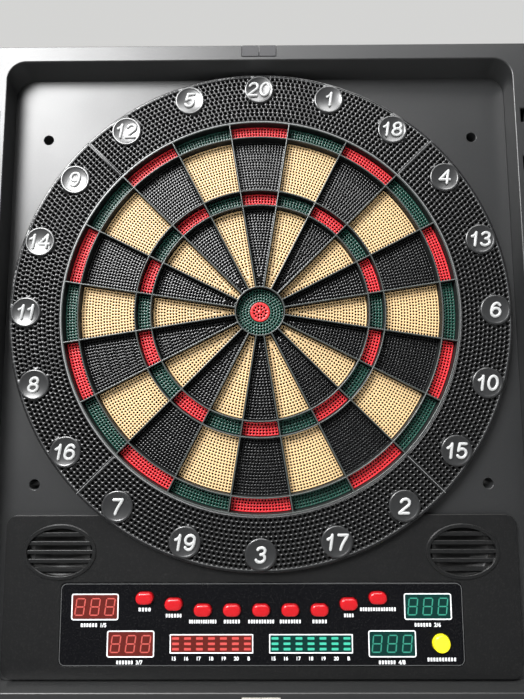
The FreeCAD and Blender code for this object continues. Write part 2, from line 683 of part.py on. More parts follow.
def lenses():
    """Display windows of the left half."""
    return [display_block(d, 0, Y_FASCIA, Y_MODULE) for d in DISPLAY_PLACES]


def led_modules():
    blocks = []
    for display in DISPLAY_PLACES:
        blocks += both_sides(display_block(display, -MODULE_INSET, Y_MODULE, Y_BOARD))
    return blocks


def push_button(x, z, cap, flange):
    """Cap, captive flange and stem; cap and flange are blocks made at the button's place."""
    stem = rod(x, z, BUTTON_STEM_R, Y_PANEL_BACK, Y_STEM)
    return fuse([round_front(cap, Y_BUTTON, 1.4), flange, stem])


def pill_button(x, z):
    grow = 2 * (BUTTON_GAP + BUTTON_FLANGE)
    cap = pill(x, z, BUTTON_W, BUTTON_H, Y_BUTTON, Y_PANEL_BACK + 0.2)
    flange = pill(x, z, BUTTON_W + grow, BUTTON_H + grow, Y_PANEL_BACK + 0.2, Y_PANEL_BACK + 1.2)
    return push_button(x, z, cap, flange)


def start_button():
    x, z = start_place()
    cap = rod(x, z, START_R, Y_BUTTON, Y_PANEL_BACK + 0.2)
    flange = rod(x, z, START_R + BUTTON_GAP + BUTTON_FLANGE, Y_PANEL_BACK + 0.2, Y_PANEL_BACK + 1.2)
    return push_button(x, z, cap, flange)


def control_board():
    board = box(-BOARD_W / 2, BOARD_W / 2, Y_BOARD, Y_BOARD_BACK, BOARD_LOW, BOARD_LOW + BOARD_H)
    socket = box(-TAIL_W / 2 - 2, TAIL_W / 2 + 2, Y_BOARD - 3.0, Y_BOARD, connector_top() - 6, connector_top())
    chip = box(-12, 12, Y_BOARD_BACK, Y_BOARD_BACK + 2.4, BOARD_LOW + 20, BOARD_LOW + 34)
    board = fuse([board, socket, chip])
    step = Y_BOARD - 1.6
    slot = box(-TAIL_W / 2, TAIL_W / 2, step, step + FILM_T, connector_top() - 3, connector_top() + 1)
    holes = [rod(x, z, SMALL_SCREW_R, Y_BOARD - 1, Y_BOARD_BACK + 1) for x, z in stud_places()]
    return board.cut([slot] + holes)


def tact_switches():
    switches = []
    for x, z in button_places() + [start_place()]:
        half = SWITCH_W / 2
        body = box(x - half, x + half, Y_SWITCH + 0.8, Y_BOARD, z - half, z + half)
        switches.append(fuse([body, rod(x, z, 1.75, Y_SWITCH, Y_SWITCH + 0.8)]))
    return switches


def board_screws():
    return [screw(x, z, SMALL_SCREW_R, Y_BOARD_BACK, Y_PANEL_BACK + 2, 2.1, 1.4) for x, z in stud_places()]


def panel_screws():
    return [screw(x, z, SMALL_SCREW_R, Y_FLOOR_BACK, Y_FACE + 1.6, 2.1, 1.4) for x, z in panel_screw_places()]


def speaker(x, z):
    """Small round loudspeaker: basket, cone opening and magnet."""
    depth, magnet_r = 17.0, 13.0
    y = Y_PANEL_BACK
    outline = ((0, 6.0), (10, 5.0), (SPEAKER_R - 4, 0.6), (SPEAKER_R - 3, 0), (SPEAKER_R, 0), (SPEAKER_R, 2.0),
               (SPEAKER_R - 3, 2.0), (magnet_r, 9.0), (magnet_r, depth), (0, depth))
    corners = [V(x + r, y + d, z) for r, d in outline]
    profile = Part.Face(Part.makePolygon(corners + corners[:1]))
    return profile.revolve(V(x, 0, z), V(0, 1, 0), 360)


# ---------------------------------------------------------------- doors (right door, open)
def striker_places():
    """x, z of each striker's middle, just inside the free corners of the pan."""
    w, t, h = STRIKER
    inset = DOOR_WALL + STRIKER_INSET
    return [(DOOR_X1 - inset - w / 2, CAB_TOP - inset - h / 2), (DOOR_X1 - inset - w / 2, CAB_LOW + inset + h / 2)]


def door_pan():
    pan = plate(DOOR_X0, DOOR_X1, CAB_LOW, CAB_TOP, CORNER_R, Y_DOOR, Y_DOOR_BACK)
    wall = DOOR_WALL
    hollow = plate(DOOR_X0 + wall, DOOR_X1 - wall, CAB_LOW + wall, CAB_TOP - wall, 5.0, Y_DOOR - 1, Y_DOOR_BASE)
    edge = SKIN_INSET
    pocket = plate(DOOR_X0 + edge, DOOR_X1 - edge, CAB_LOW + edge, CAB_TOP - edge, 3.0, Y_SKIN, Y_DOOR_BACK + 1)
    pan = pan.cut([hollow, pocket])

    w, t, h = STRIKER
    reach = STRIKER_INSET + 1
    added = [box(x - w / 2 - 1, x + w / 2 + reach, Y_DOOR + t, Y_DOOR_BASE + 1, z - h / 2 - reach, z + h / 2 + reach)
             for x, z in striker_places()]
    knuckles, relief, bores = [], [], []
    for z in HINGE_HEIGHTS:
        relief.append(post(CAB_X, Y_RIM, KNUCKLE_R + SWING_GAP, z - LUG_H / 2 - 1.5, z + LUG_H / 2 + 1.5))
        bores.append(post(CAB_X, Y_RIM, PIN_R + PIN_GAP, z - LUG_H, z + LUG_H))
        for sign in (-1, 1):
            middle = z + sign * (LUG_H / 2 + WINDOW_H / 2)
            knuckles.append(post(CAB_X, Y_RIM, KNUCKLE_R, middle - KNUCKLE_H / 2, middle + KNUCKLE_H / 2))
            relief.append(post(CAB_X, Y_RIM, PIN_R + SWING_GAP, middle - WINDOW_H / 2, middle + WINDOW_H / 2))
    pan = fuse([pan] + added).cut(relief)
    return fuse([pan] + knuckles).cut(bores)


def door_skin():
    edge = SKIN_INSET + 0.2
    return plate(DOOR_X0 + edge, DOOR_X1 - edge, CAB_LOW + edge, CAB_TOP - edge, 2.8, Y_SKIN, Y_DOOR_BACK)


def rack_middle():
    return (DOOR_X0 + DOOR_X1) / 2


def dart_rack():
    """Plate with a slotted bar for three barrels and a lower bar for the tips."""
    x, y1 = rack_middle(), Y_DOOR_BASE
    half, rise = RACK_W / 2, RACK_SPAN / 2
    backing = plate(x - half, x + half, -rise, rise, 4, y1 - 2, y1)
    bars = [plate(x - half, x + half, z, z + RACK_BAR, 3, y1 - RACK_D, y1) for z in (-rise, rise - RACK_BAR)]
    rack = fuse([backing] + bars)
    tools = []
    for k in (-1, 0, 1):
        middle = x + RACK_PITCH * k
        slot = RACK_SLOT / 2
        tools.append(box(middle - slot, middle + slot, y1 - RACK_D - 1, y1 - 3, rise - RACK_BAR - 1, rise + 1))
        tools.append(post(middle, y1 - RACK_D / 2 - 1, 1.5, -rise + 3, -rise + RACK_BAR + 1))
    return rack.cut(tools)


def door_strikers():
    w, t, h = STRIKER
    return [box(x - w / 2, x + w / 2, Y_DOOR, Y_DOOR + t, z - h / 2, z + h / 2) for x, z in striker_places()]


def hinge_pins():
    pins = []
    for z in HINGE_HEIGHTS:
        reach = LUG_H / 2 + WINDOW_H - 1.0
        pins.append(post(CAB_X, Y_RIM, PIN_R, z - reach, z + reach))
    return pins


# ---------------------------------------------------------------- files
def save(name, shapes):
    shape = shapes if isinstance(shapes, Part.Shape) else Part.makeCompound(shapes)
    shape.exportStep("parts/%s.step" % name)


def save_target():
    single_out = (TRIPLE_R, DOUBLE_IN, LIP_W)
    single_in = (BULL_R, TRIPLE_IN, LIP_W)
    double = (DOUBLE_IN, TARGET_R, 0.0)
    triple = (TRIPLE_IN, TRIPLE_R, LIP_W)
    save("outer_single_black", segments(single_out, BLACK_SECTORS))
    save("outer_single_tan", segments(single_out, PALE_SECTORS))
    save("inner_single_black", segments(single_in, BLACK_SECTORS))
    save("inner_single_tan", segments(single_in, PALE_SECTORS))
    save("double_red", segments(double, BLACK_SECTORS))
    save("double_green", segments(double, PALE_SECTORS))
    save("triple_red", segments(triple, BLACK_SECTORS))
    save("triple_green", segments(triple, PALE_SECTORS))
    save("outer_bull", outer_bull())
    save("inner_bull", inner_bull())
    save("spider", spider())
    for name, centre in (("top", 0), ("right", 90), ("bottom", 180), ("left", 270)):
        save("catch_ring_" + name, catch_ring(centre))
    save("number_discs", [number_disc(k) for k in range(20)])
    save("sensor_pad", sensor_pad())
    save("sensor_membrane", sensor_membrane())
    save("target_backplate", target_backplate())
    save("target_screws", target_screws())


def save_controls():
    save("control_housing", control_housing())
    save("control_fascia", control_fascia())
    save("lenses_red", lenses())
    save("lenses_green", [mirrored(lens) for lens in lenses()])
    save("led_modules", led_modules())
    save("control_board", control_board())
    save("board_screws", board_screws())
    save("panel_screws", panel_screws())
    save("tact_switches", tact_switches())
    for name, place in zip(("left", "right"), speaker_places()):
        save("speaker_" + name, speaker(*place))
    for number, (x, z) in enumerate(button_places(), 1):
        save("button_red_%d" % number, pill_button(x, z))
    save("button_start", start_button())


def save_cabinet():
    save("cabinet_frame", cabinet_frame())
    save("tray_floor", tray_floor())
    save("back_cover", back_cover())
    save("cover_screws", cover_screws())
    save("power_jack", power_jack())
    save("door_catch_top", catch_boxes(1))
    save("door_catch_bottom", catch_boxes(-1))
    pieces = {"pan": [door_pan()], "skin": [door_skin()], "dart_rack": [dart_rack()],
              "strikers": door_strikers()}
    for piece, shapes in pieces.items():
        save("door_right_" + piece, shapes)
        save("door_left_" + piece, [mirrored(s) for s in shapes])
    save("hinge_pins_right", hinge_pins())
    save("hinge_pins_left", [mirrored(pin) for pin in hinge_pins()])


os.makedirs("parts", exist_ok=True)
save_target()
save_controls()
save_cabinet()
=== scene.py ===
"""Looks of an electronic dartboard: a shallow cabinet with a perforated target and fold-back doors.

Sizes are in metres in the frame of the CAD model: +X right, +Z up, and the board faces -Y.
Patterns on the board are worked out flat, with x right, y up and z towards the player, and then stood up.
"""
import json
import math
from functools import partial

import bmesh
import bpy
from mathutils import Matrix, Vector


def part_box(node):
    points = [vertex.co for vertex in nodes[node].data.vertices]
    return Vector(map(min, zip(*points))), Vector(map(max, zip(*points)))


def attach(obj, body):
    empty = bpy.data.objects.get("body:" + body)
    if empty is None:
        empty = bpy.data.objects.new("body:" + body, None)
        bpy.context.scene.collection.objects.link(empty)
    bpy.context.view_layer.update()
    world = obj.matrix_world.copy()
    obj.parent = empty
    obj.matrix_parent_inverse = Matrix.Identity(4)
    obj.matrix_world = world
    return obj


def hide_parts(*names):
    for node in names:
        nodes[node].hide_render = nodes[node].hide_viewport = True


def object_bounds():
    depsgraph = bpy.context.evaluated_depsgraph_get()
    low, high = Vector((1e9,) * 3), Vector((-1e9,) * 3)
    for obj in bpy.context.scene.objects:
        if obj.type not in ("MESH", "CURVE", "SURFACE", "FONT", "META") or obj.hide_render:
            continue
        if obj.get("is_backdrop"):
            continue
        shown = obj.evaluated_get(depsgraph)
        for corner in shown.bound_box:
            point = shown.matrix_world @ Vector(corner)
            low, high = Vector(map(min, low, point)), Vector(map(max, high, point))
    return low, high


MM = 0.001

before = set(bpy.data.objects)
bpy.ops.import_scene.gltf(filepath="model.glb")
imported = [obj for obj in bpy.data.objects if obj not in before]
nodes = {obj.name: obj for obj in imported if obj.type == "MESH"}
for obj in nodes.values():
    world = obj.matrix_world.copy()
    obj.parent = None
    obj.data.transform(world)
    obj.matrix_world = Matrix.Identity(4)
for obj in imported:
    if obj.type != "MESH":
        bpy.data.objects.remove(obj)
cad_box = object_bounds()


def middle(node):
    low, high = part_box(node)
    return (low + high) / 2


# ---------------- places and sizes from the frame
BULL = middle("inner_bull")
FACE_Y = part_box("outer_single_tan")[0].y
SEGMENT_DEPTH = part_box("outer_single_tan")[1].y - FACE_Y
WALL_TOP_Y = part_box("spider")[0].y
RING_FACE_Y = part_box("catch_ring_top")[0].y
RING_BACK_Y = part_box("catch_ring_top")[1].y
DISC_FACE_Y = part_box("number_discs")[0].y
FASCIA_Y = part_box("control_fascia")[0].y
FLOOR_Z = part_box("cabinet_frame")[0].z

# Target, matching the CAD model. Radii are about the bull, and cell walls are centred on theirs.
TARGET_R = 171.5 * MM
DOUBLE_IN = 157.5 * MM
TRIPLE_OUT = 108.2 * MM
TRIPLE_IN = 94.5 * MM
BULL_WALL_R = 21.2 * MM
CELL_WALL = 1.2 * MM
CELL_GAP = 0.35 * MM
LIP = 0.65 * MM
LIP_T = 2.0 * MM
SECTOR = math.radians(18)
SEGMENT_EDGE = 0.45 * MM
RING_IN = 174.0 * MM
RING_OUT = 218.0 * MM
DISC_R = 13.15 * MM
DISC_ORBIT = 203.0 * MM

# Turns flat work, which faces +Z, to face the player
UPRIGHT = Matrix.Rotation(math.pi / 2, 4, "X")

# Camera, level with the board's lower half and tipped up a little; EYE_TURN is in degrees
EYE = (0.0043, -0.4678, -0.0847)
EYE_TURN = (95.93, 0.22, 0.382)
LENS = 25.75


# ---------------- camera
def place_camera():
    data = bpy.data.cameras.new("eye")
    data.lens = LENS
    data.clip_start = 0.02
    camera = bpy.data.objects.new("eye", data)
    camera.location = EYE
    camera.rotation_euler = [math.radians(a) for a in EYE_TURN]
    bpy.context.scene.collection.objects.link(camera)
    bpy.context.scene.camera = camera


place_camera()


# ---------------- node tree helpers
def plug(tree, socket, value):
    """Links a socket, or the first output of a node, or sets a plain value."""
    if isinstance(value, bpy.types.Node):
        value = value.outputs[0]
    if isinstance(value, bpy.types.NodeSocket):
        tree.links.new(value, socket)
    else:
        socket.default_value = value


def add(tree, kind, sockets=None, **settings):
    made = tree.nodes.new(kind)
    for name, value in settings.items():
        setattr(made, name, value)
    for key, value in (sockets or {}).items():
        plug(tree, made.inputs[key], value)
    return made


def maths(tree, operation, *values):
    made = add(tree, "ShaderNodeMath", operation=operation)
    for socket, value in zip(made.inputs, values):
        plug(tree, socket, value)
    return made.outputs[0]


def group_tree(name, kind, inputs, outputs):
    """New node group with named sockets. inputs and outputs are (name, socket type, default) rows."""
    tree = bpy.data.node_groups.new(name, kind)
    for label, socket, default in inputs:
        made = tree.interface.new_socket(label, in_out="INPUT", socket_type=socket)
        if default is not None:
            made.default_value = default
    for label, socket in outputs:
        tree.interface.new_socket(label, in_out="OUTPUT", socket_type=socket)
    return tree, tree.nodes.new("NodeGroupInput").outputs, tree.nodes.new("NodeGroupOutput").inputs


# ---------------- shader groups
def make_moulded_group():
    """Moulded plastic: cloudy gloss, fine grain, dust on upward faces, and painted shade (darker and rougher)
    deeper than Recess, standing in for the shade inside holes and down wall sides.
    """
    F, C, V3 = "NodeSocketFloat", "NodeSocketColor", "NodeSocketVector"
    tree, given, out = group_tree(
        "moulded_plastic", "ShaderNodeTree",
        [("Color", C, (0.5, 0.5, 0.5, 1)), ("Roughness", F, 0.4), ("Cloud", F, 0.08), ("Grain", F, 0.1),
         ("Grain Size", F, 0.0006), ("Dust", F, 0.1), ("Recess", F, 1.0), ("Recess Shade", F, 0.0)],
        [("Color", C), ("Roughness", F), ("Normal", V3)])
    put, calc = partial(add, tree), partial(maths, tree)
    place = put("ShaderNodeTexCoord").outputs["Object"]
    depth = put("ShaderNodeSeparateXYZ", {0: place}).outputs["Y"]
    # Painted shade: deeper than Recess the colour is darkened by Recess Shade and made rougher, in place of
    # the shade that falls in holes, pits and down wall sides.
    below = calc("SUBTRACT", depth, given["Recess"])
    sunk = put("ShaderNodeMapRange", {0: below, 1: 0.0, 2: 0.0006})
    painted_recess_shade = calc("MULTIPLY", sunk, given["Recess Shade"])
    cloud = put("ShaderNodeTexNoise", {"Vector": place, "Scale": 14.0, "Detail": 4.0})
    specks = put("ShaderNodeTexNoise", {"Vector": place, "Scale": 900.0, "Detail": 2.0})
    grain_scale = calc("DIVIDE", 1.0, given["Grain Size"])
    grain = put("ShaderNodeTexNoise", {"Vector": place, "Scale": grain_scale, "Detail": 1.0})

    swing = calc("SUBTRACT", cloud, 0.5)
    change = calc("MULTIPLY", swing, given["Cloud"])
    clouded = calc("MULTIPLY_ADD", change, 2.0, given["Roughness"])
    rough = calc("MULTIPLY_ADD", painted_recess_shade, 0.4, clouded)

    normal = put("ShaderNodeNewGeometry").outputs["Normal"]
    up = put("ShaderNodeSeparateXYZ", {0: normal}).outputs["Z"]
    level = calc("MAXIMUM", up, 0.0)
    speck = put("ShaderNodeMapRange", {0: specks, 1: 0.52, 2: 0.72})
    settled = calc("ADD", calc("MULTIPLY", level, 0.6), 0.12)
    dust = calc("MULTIPLY", calc("MULTIPLY", speck, settled), given["Dust"])

    shade = calc("MULTIPLY", calc("ADD", 1.0, change), calc("SUBTRACT", 1.0, painted_recess_shade))
    tone = put("ShaderNodeVectorMath", {0: given["Color"]}, operation="SCALE")
    plug(tree, tone.inputs["Scale"], shade)
    dusty = put("ShaderNodeMix", {"Factor": dust, "B": (0.45, 0.43, 0.4, 1)}, data_type="RGBA")
    plug(tree, dusty.inputs["A"], tone)
    bump = put("ShaderNodeBump", {"Strength": given["Grain"], "Distance": 0.0002, "Height": grain})
    plug(tree, out["Color"], dusty.outputs["Result"])
    plug(tree, out["Roughness"], calc("ADD", rough, dust))
    plug(tree, out["Normal"], bump)
    return tree


MOULDED = make_moulded_group()
# Strength of the painted shade in holes and recesses
RECESS_SHADE = 0.88


def plastic(name, color, roughness, cloud=0.08, grain=0.1, grain_size=0.0006, dust=0.1, specular=0.5,
            recess=None):
    """Moulded or painted plastic. recess is the depth (y) below which painted shade darkens it, standing in
    for the shade in holes and recesses.
    """
    made = bpy.data.materials.new(name)
    made.use_nodes = True
    tree = made.node_tree
    shader = tree.nodes["Principled BSDF"]
    group = add(tree, "ShaderNodeGroup", node_tree=MOULDED)
    values = {"Color": (*color, 1), "Roughness": roughness, "Cloud": cloud, "Grain": grain,
              "Grain Size": grain_size, "Dust": dust, "Recess": recess or 1.0,
              "Recess Shade": RECESS_SHADE if recess else 0.0}
    for key, value in values.items():
        group.inputs[key].default_value = value
    plug(tree, shader.inputs["Base Color"], group.outputs["Color"])
    plug(tree, shader.inputs["Roughness"], group.outputs["Roughness"])
    plug(tree, shader.inputs["Normal"], group.outputs["Normal"])
    shader.inputs["Specular IOR Level"].default_value = specular
    made.diffuse_color = (*color, 1)
    return made


def metal(name, color, roughness, brushed=0.3):
    """Bare metal with short brush marks."""
    made = bpy.data.materials.new(name)
    made.use_nodes = True
    tree = made.node_tree
    shader = tree.nodes["Principled BSDF"]
    place = add(tree, "ShaderNodeTexCoord").outputs["Object"]
    stretched = add(tree, "ShaderNodeMapping", {"Vector": place, "Scale": (900.0, 900.0, 60.0)})
    marks = add(tree, "ShaderNodeTexNoise", {"Vector": stretched, "Scale": 1.0, "Detail": 3.0})
    spread = maths(tree, "MULTIPLY", maths(tree, "SUBTRACT", marks, 0.5), brushed)
    plug(tree, shader.inputs["Roughness"], maths(tree, "ADD", roughness, spread))
    bump = add(tree, "ShaderNodeBump", {"Strength": 0.15, "Distance": 0.0001, "Height": marks})
    plug(tree, shader.inputs["Normal"], bump)
    shader.inputs["Base Color"].default_value = (*color, 1)
    shader.inputs["Metallic"].default_value = 1.0
    return made


# Recess levels: deeper than these the moulded group paints shade, darkening hole bores, ring pits, cell wall
# sides and plate edges.
HOLE_Y = FACE_Y + 0.15 * MM
SHELL = {"cloud": 0.05, "grain_size": 0.0007}
SEGMENT = {"cloud": 0.05, "grain": 0.06, "dust": 0.05, "recess": HOLE_Y}
TARGET_RED = dict(SEGMENT, specular=0.35)
BULL_FACE = dict(TARGET_RED, recess=HOLE_Y - 1 * MM)
CLEAR = {"cloud": 0.02, "grain": 0.0, "dust": 0.02, "specular": 0.35}
PRINTED = {"grain": 0.0, "dust": 0.0, "specular": 0.3}
CAP = {"cloud": 0.03, "grain": 0.0, "specular": 0.45}

CABINET = plastic("cabinet_plastic", (0.014, 0.0145, 0.015), 0.4, grain=0.14, **SHELL)
PANEL = plastic("panel_plastic", (0.0062, 0.0064, 0.0066), 0.36, grain=0.16, specular=0.28, **SHELL)
DOOR_SKIN = plastic("door_skin_plastic", (0.016, 0.016, 0.017), 0.42, grain=0.3, grain_size=0.0011)
RING = plastic("ring_plastic", (0.007, 0.0072, 0.0074), 0.24, cloud=0.04, grain=0.05, dust=0.04,
               specular=0.36, recess=RING_FACE_Y + 0.3 * MM)
# Painted highlight: light grey on the black ring for the bright edge line along the seam beads and the inner
# lip.
HIGHLIGHT_GREY = plastic("seam_bead_painted_highlight", (0.15, 0.152, 0.154), 0.3, grain=0.05, dust=0.06)
# Painted sheen: the outer lip is the ring's black lifted to dark grey, so its slope reads as catching light.
OUTER_LIP = plastic("ring_lip_painted_sheen", (0.04, 0.041, 0.042), 0.4, grain=0.05, dust=0.06)
WALLS = plastic("cell_wall_plastic", (0.04, 0.046, 0.044), 0.26, cloud=0.05, grain=0.06, dust=0.06,
                specular=0.4, recess=WALL_TOP_Y + 0.12 * MM)
BLACK = plastic("segment_black_plastic", (0.005, 0.0052, 0.0055), 0.22, cloud=0.04, grain=0.05, dust=0.05,
                recess=HOLE_Y)
TAN = plastic("segment_tan_plastic", (0.5, 0.345, 0.17), 0.4, **SEGMENT)
RED = plastic("segment_red_plastic", (0.48, 0.018, 0.024), 0.36, **TARGET_RED)
BULL_RED = plastic("bull_red_plastic", (0.38, 0.018, 0.02), 0.36, **BULL_FACE)
GREEN = plastic("segment_green_plastic", (0.007, 0.042, 0.03), 0.3, **SEGMENT)
DISC = plastic("disc_plastic", (0.014, 0.0145, 0.015), 0.3, grain=0.05, dust=0.04, specular=0.85)
NUMERAL = plastic("numeral_silver", (0.3, 0.305, 0.305), 0.26, grain=0.05, dust=0.0, specular=0.8)
FASCIA = plastic("fascia_film", (0.0024, 0.0025, 0.0032), 0.2, cloud=0.03, grain=0.0, specular=0.2)
PRINT = plastic("printed_white", (0.6, 0.61, 0.62), 0.4, **PRINTED)
TRIM_LINE = plastic("printed_grey_line", (0.06, 0.062, 0.062), 0.3, grain=0.0, dust=0.0)
LENS_RED = plastic("lens_red", (0.068, 0.009, 0.007), 0.16, **CLEAR)
LENS_GREEN = plastic("lens_green", (0.0018, 0.019, 0.016), 0.16, **CLEAR)
DIGIT_RED = plastic("digit_red", (0.34, 0.055, 0.045), 0.35, **PRINTED)
BARS_RED = plastic("light_bar_red", (0.38, 0.045, 0.04), 0.35, **PRINTED)
DIGIT_GREEN = plastic("digit_green", (0.02, 0.17, 0.12), 0.35, **PRINTED)
BARS_GREEN = plastic("light_bar_green", (0.03, 0.31, 0.21), 0.35, **PRINTED)
BUTTON_RED = plastic("button_red_plastic", (0.31, 0.003, 0.006), 0.22, **CAP)
BUTTON_YELLOW = plastic("button_yellow_plastic", (0.86, 0.78, 0.012), 0.24, **CAP)
CATCH_DARK = plastic("catch_dark_plastic", (0.03, 0.03, 0.032), 0.5, specular=0.25)
CATCH_PALE = plastic("catch_pale_plastic", (0.26, 0.25, 0.22), 0.45)
MODULE = plastic("module_plastic", (0.08, 0.08, 0.085), 0.5)
BOARD = plastic("board_green", (0.01, 0.12, 0.05), 0.35, grain=0.05)
FILM = plastic("film_grey", (0.45, 0.47, 0.46), 0.3, grain=0.02)
PAD = plastic("pad_foam", (0.12, 0.12, 0.12), 0.85, grain=0.6)
BACKPLATE = plastic("backplate_plastic", (0.05, 0.05, 0.055), 0.5)
SPEAKER = plastic("speaker_paint", (0.006, 0.006, 0.006), 0.45)
STEEL = metal("zinc_steel", (0.55, 0.55, 0.57), 0.3)


# ---------------- pieces
def finish_piece(obj, body, slot, material=None, replaces=()):
    """Puts a finished mesh in the scene on its body."""
    if obj.name not in bpy.context.scene.collection.objects:
        bpy.context.scene.collection.objects.link(obj)
    if material:
        obj.data.materials.clear()
        obj.data.materials.append(material)
    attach(obj, body)
    if replaces:
        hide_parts(*replaces)
    return obj


def mesh_object(name, bm):
    mesh = bpy.data.meshes.new(name)
    bm.to_mesh(mesh)
    bm.free()
    return bpy.data.objects.new(name, mesh)


def baked(obj, name):
    """Plain mesh object made from obj with its modifiers; obj itself goes."""
    if obj.name not in bpy.context.scene.collection.objects:
        bpy.context.scene.collection.objects.link(obj)
    depsgraph = bpy.context.evaluated_depsgraph_get()
    mesh = bpy.data.meshes.new_from_object(obj.evaluated_get(depsgraph), depsgraph=depsgraph)
    bpy.data.objects.remove(obj)
    mesh.name = name
    return bpy.data.objects.new(name, mesh)


def smooth_by_angle(mesh, degrees):
    mesh.shade_smooth()
    mesh.set_sharp_from_angle(angle=math.radians(degrees))


def refined(node, body, slot, material, width, segments=2):
    """Copy of a CAD node with merged faces and rounded edges, shown instead of the node."""
    bm = bmesh.new()
    bm.from_mesh(nodes[node].data)
    bmesh.ops.remove_doubles(bm, verts=bm.verts, dist=0.002 * MM)
    bmesh.ops.dissolve_limit(bm, angle_limit=math.radians(0.6), verts=bm.verts, edges=bm.edges)
    copy = mesh_object(node + "_shape", bm)
    bevel = copy.modifiers.new("edges", "BEVEL")
    bevel.width = width
    bevel.segments = segments
    bevel.limit_method = "ANGLE"
    bevel.angle_limit = math.radians(50)
    bevel.use_clamp_overlap = False
    smooth_by_angle(copy.data, 38)
    flats = copy.modifiers.new("flats", "WEIGHTED_NORMAL")
    flats.keep_sharp = True
    made = baked(copy, node + "_moulded")
    return finish_piece(made, body, slot, material, (node,))


def paint(node, material):
    """Gives a CAD node that keeps its shape its material."""
    data = nodes[node].data
    if not data.materials:
        data.materials.append(material)
    for i in range(len(data.materials)):
        data.materials[i] = material
    for slot in nodes[node].material_slots:
        slot.material = material


PLACE_AND_MATERIAL = (("Place", "NodeSocketVector", (0, 0, 0)), ("Material", "NodeSocketMaterial", None))


def finish_tree(tree, geometry, given, out):
    """Last nodes of every geometry tree: stands the flat work up at Place and gives it its Material."""
    stood = add(tree, "GeometryNodeTransform",
                {"Geometry": geometry, "Rotation": (math.pi / 2, 0, 0), "Translation": given["Place"]})
    coloured = add(tree, "GeometryNodeSetMaterial", {"Geometry": stood, "Material": given["Material"]})
    plug(tree, out["Geometry"], coloured)
    return tree


def copies_on(tree, points, shape, rotation=(0, 0, 0)):
    """Real copies of a shape on points."""
    copies = add(tree, "GeometryNodeInstanceOnPoints",
                 {"Points": points, "Instance": shape, "Rotation": rotation})
    return add(tree, "GeometryNodeRealizeInstances", {"Geometry": copies})


def at_angle(tree, radius, turn):
    """Position at a radius from the bull, turned clockwise from the top."""
    x = maths(tree, "MULTIPLY", radius, maths(tree, "SINE", turn))
    y = maths(tree, "MULTIPLY", radius, maths(tree, "COSINE", turn))
    return add(tree, "ShaderNodeCombineXYZ", {"X": x, "Y": y})


def gather(tree, *parts):
    """Joins geometry sockets."""
    joint = add(tree, "GeometryNodeJoinGeometry")
    for part in parts:
        plug(tree, joint.inputs[0], part)
    return joint


def polar(r, a):
    return r * math.sin(a), r * math.cos(a)


def circle(r, count):
    return [polar(r, 2 * math.pi * k / count) for k in range(count)]


def bridge(bm, near, far):
    """Faces between two closed loops of corners."""
    count = len(near)
    for i in range(count):
        j = (i + 1) % count
        bm.faces.new((near[i], near[j], far[j], far[i]))


BULL_STEPS, RING_STEPS = 72, 180


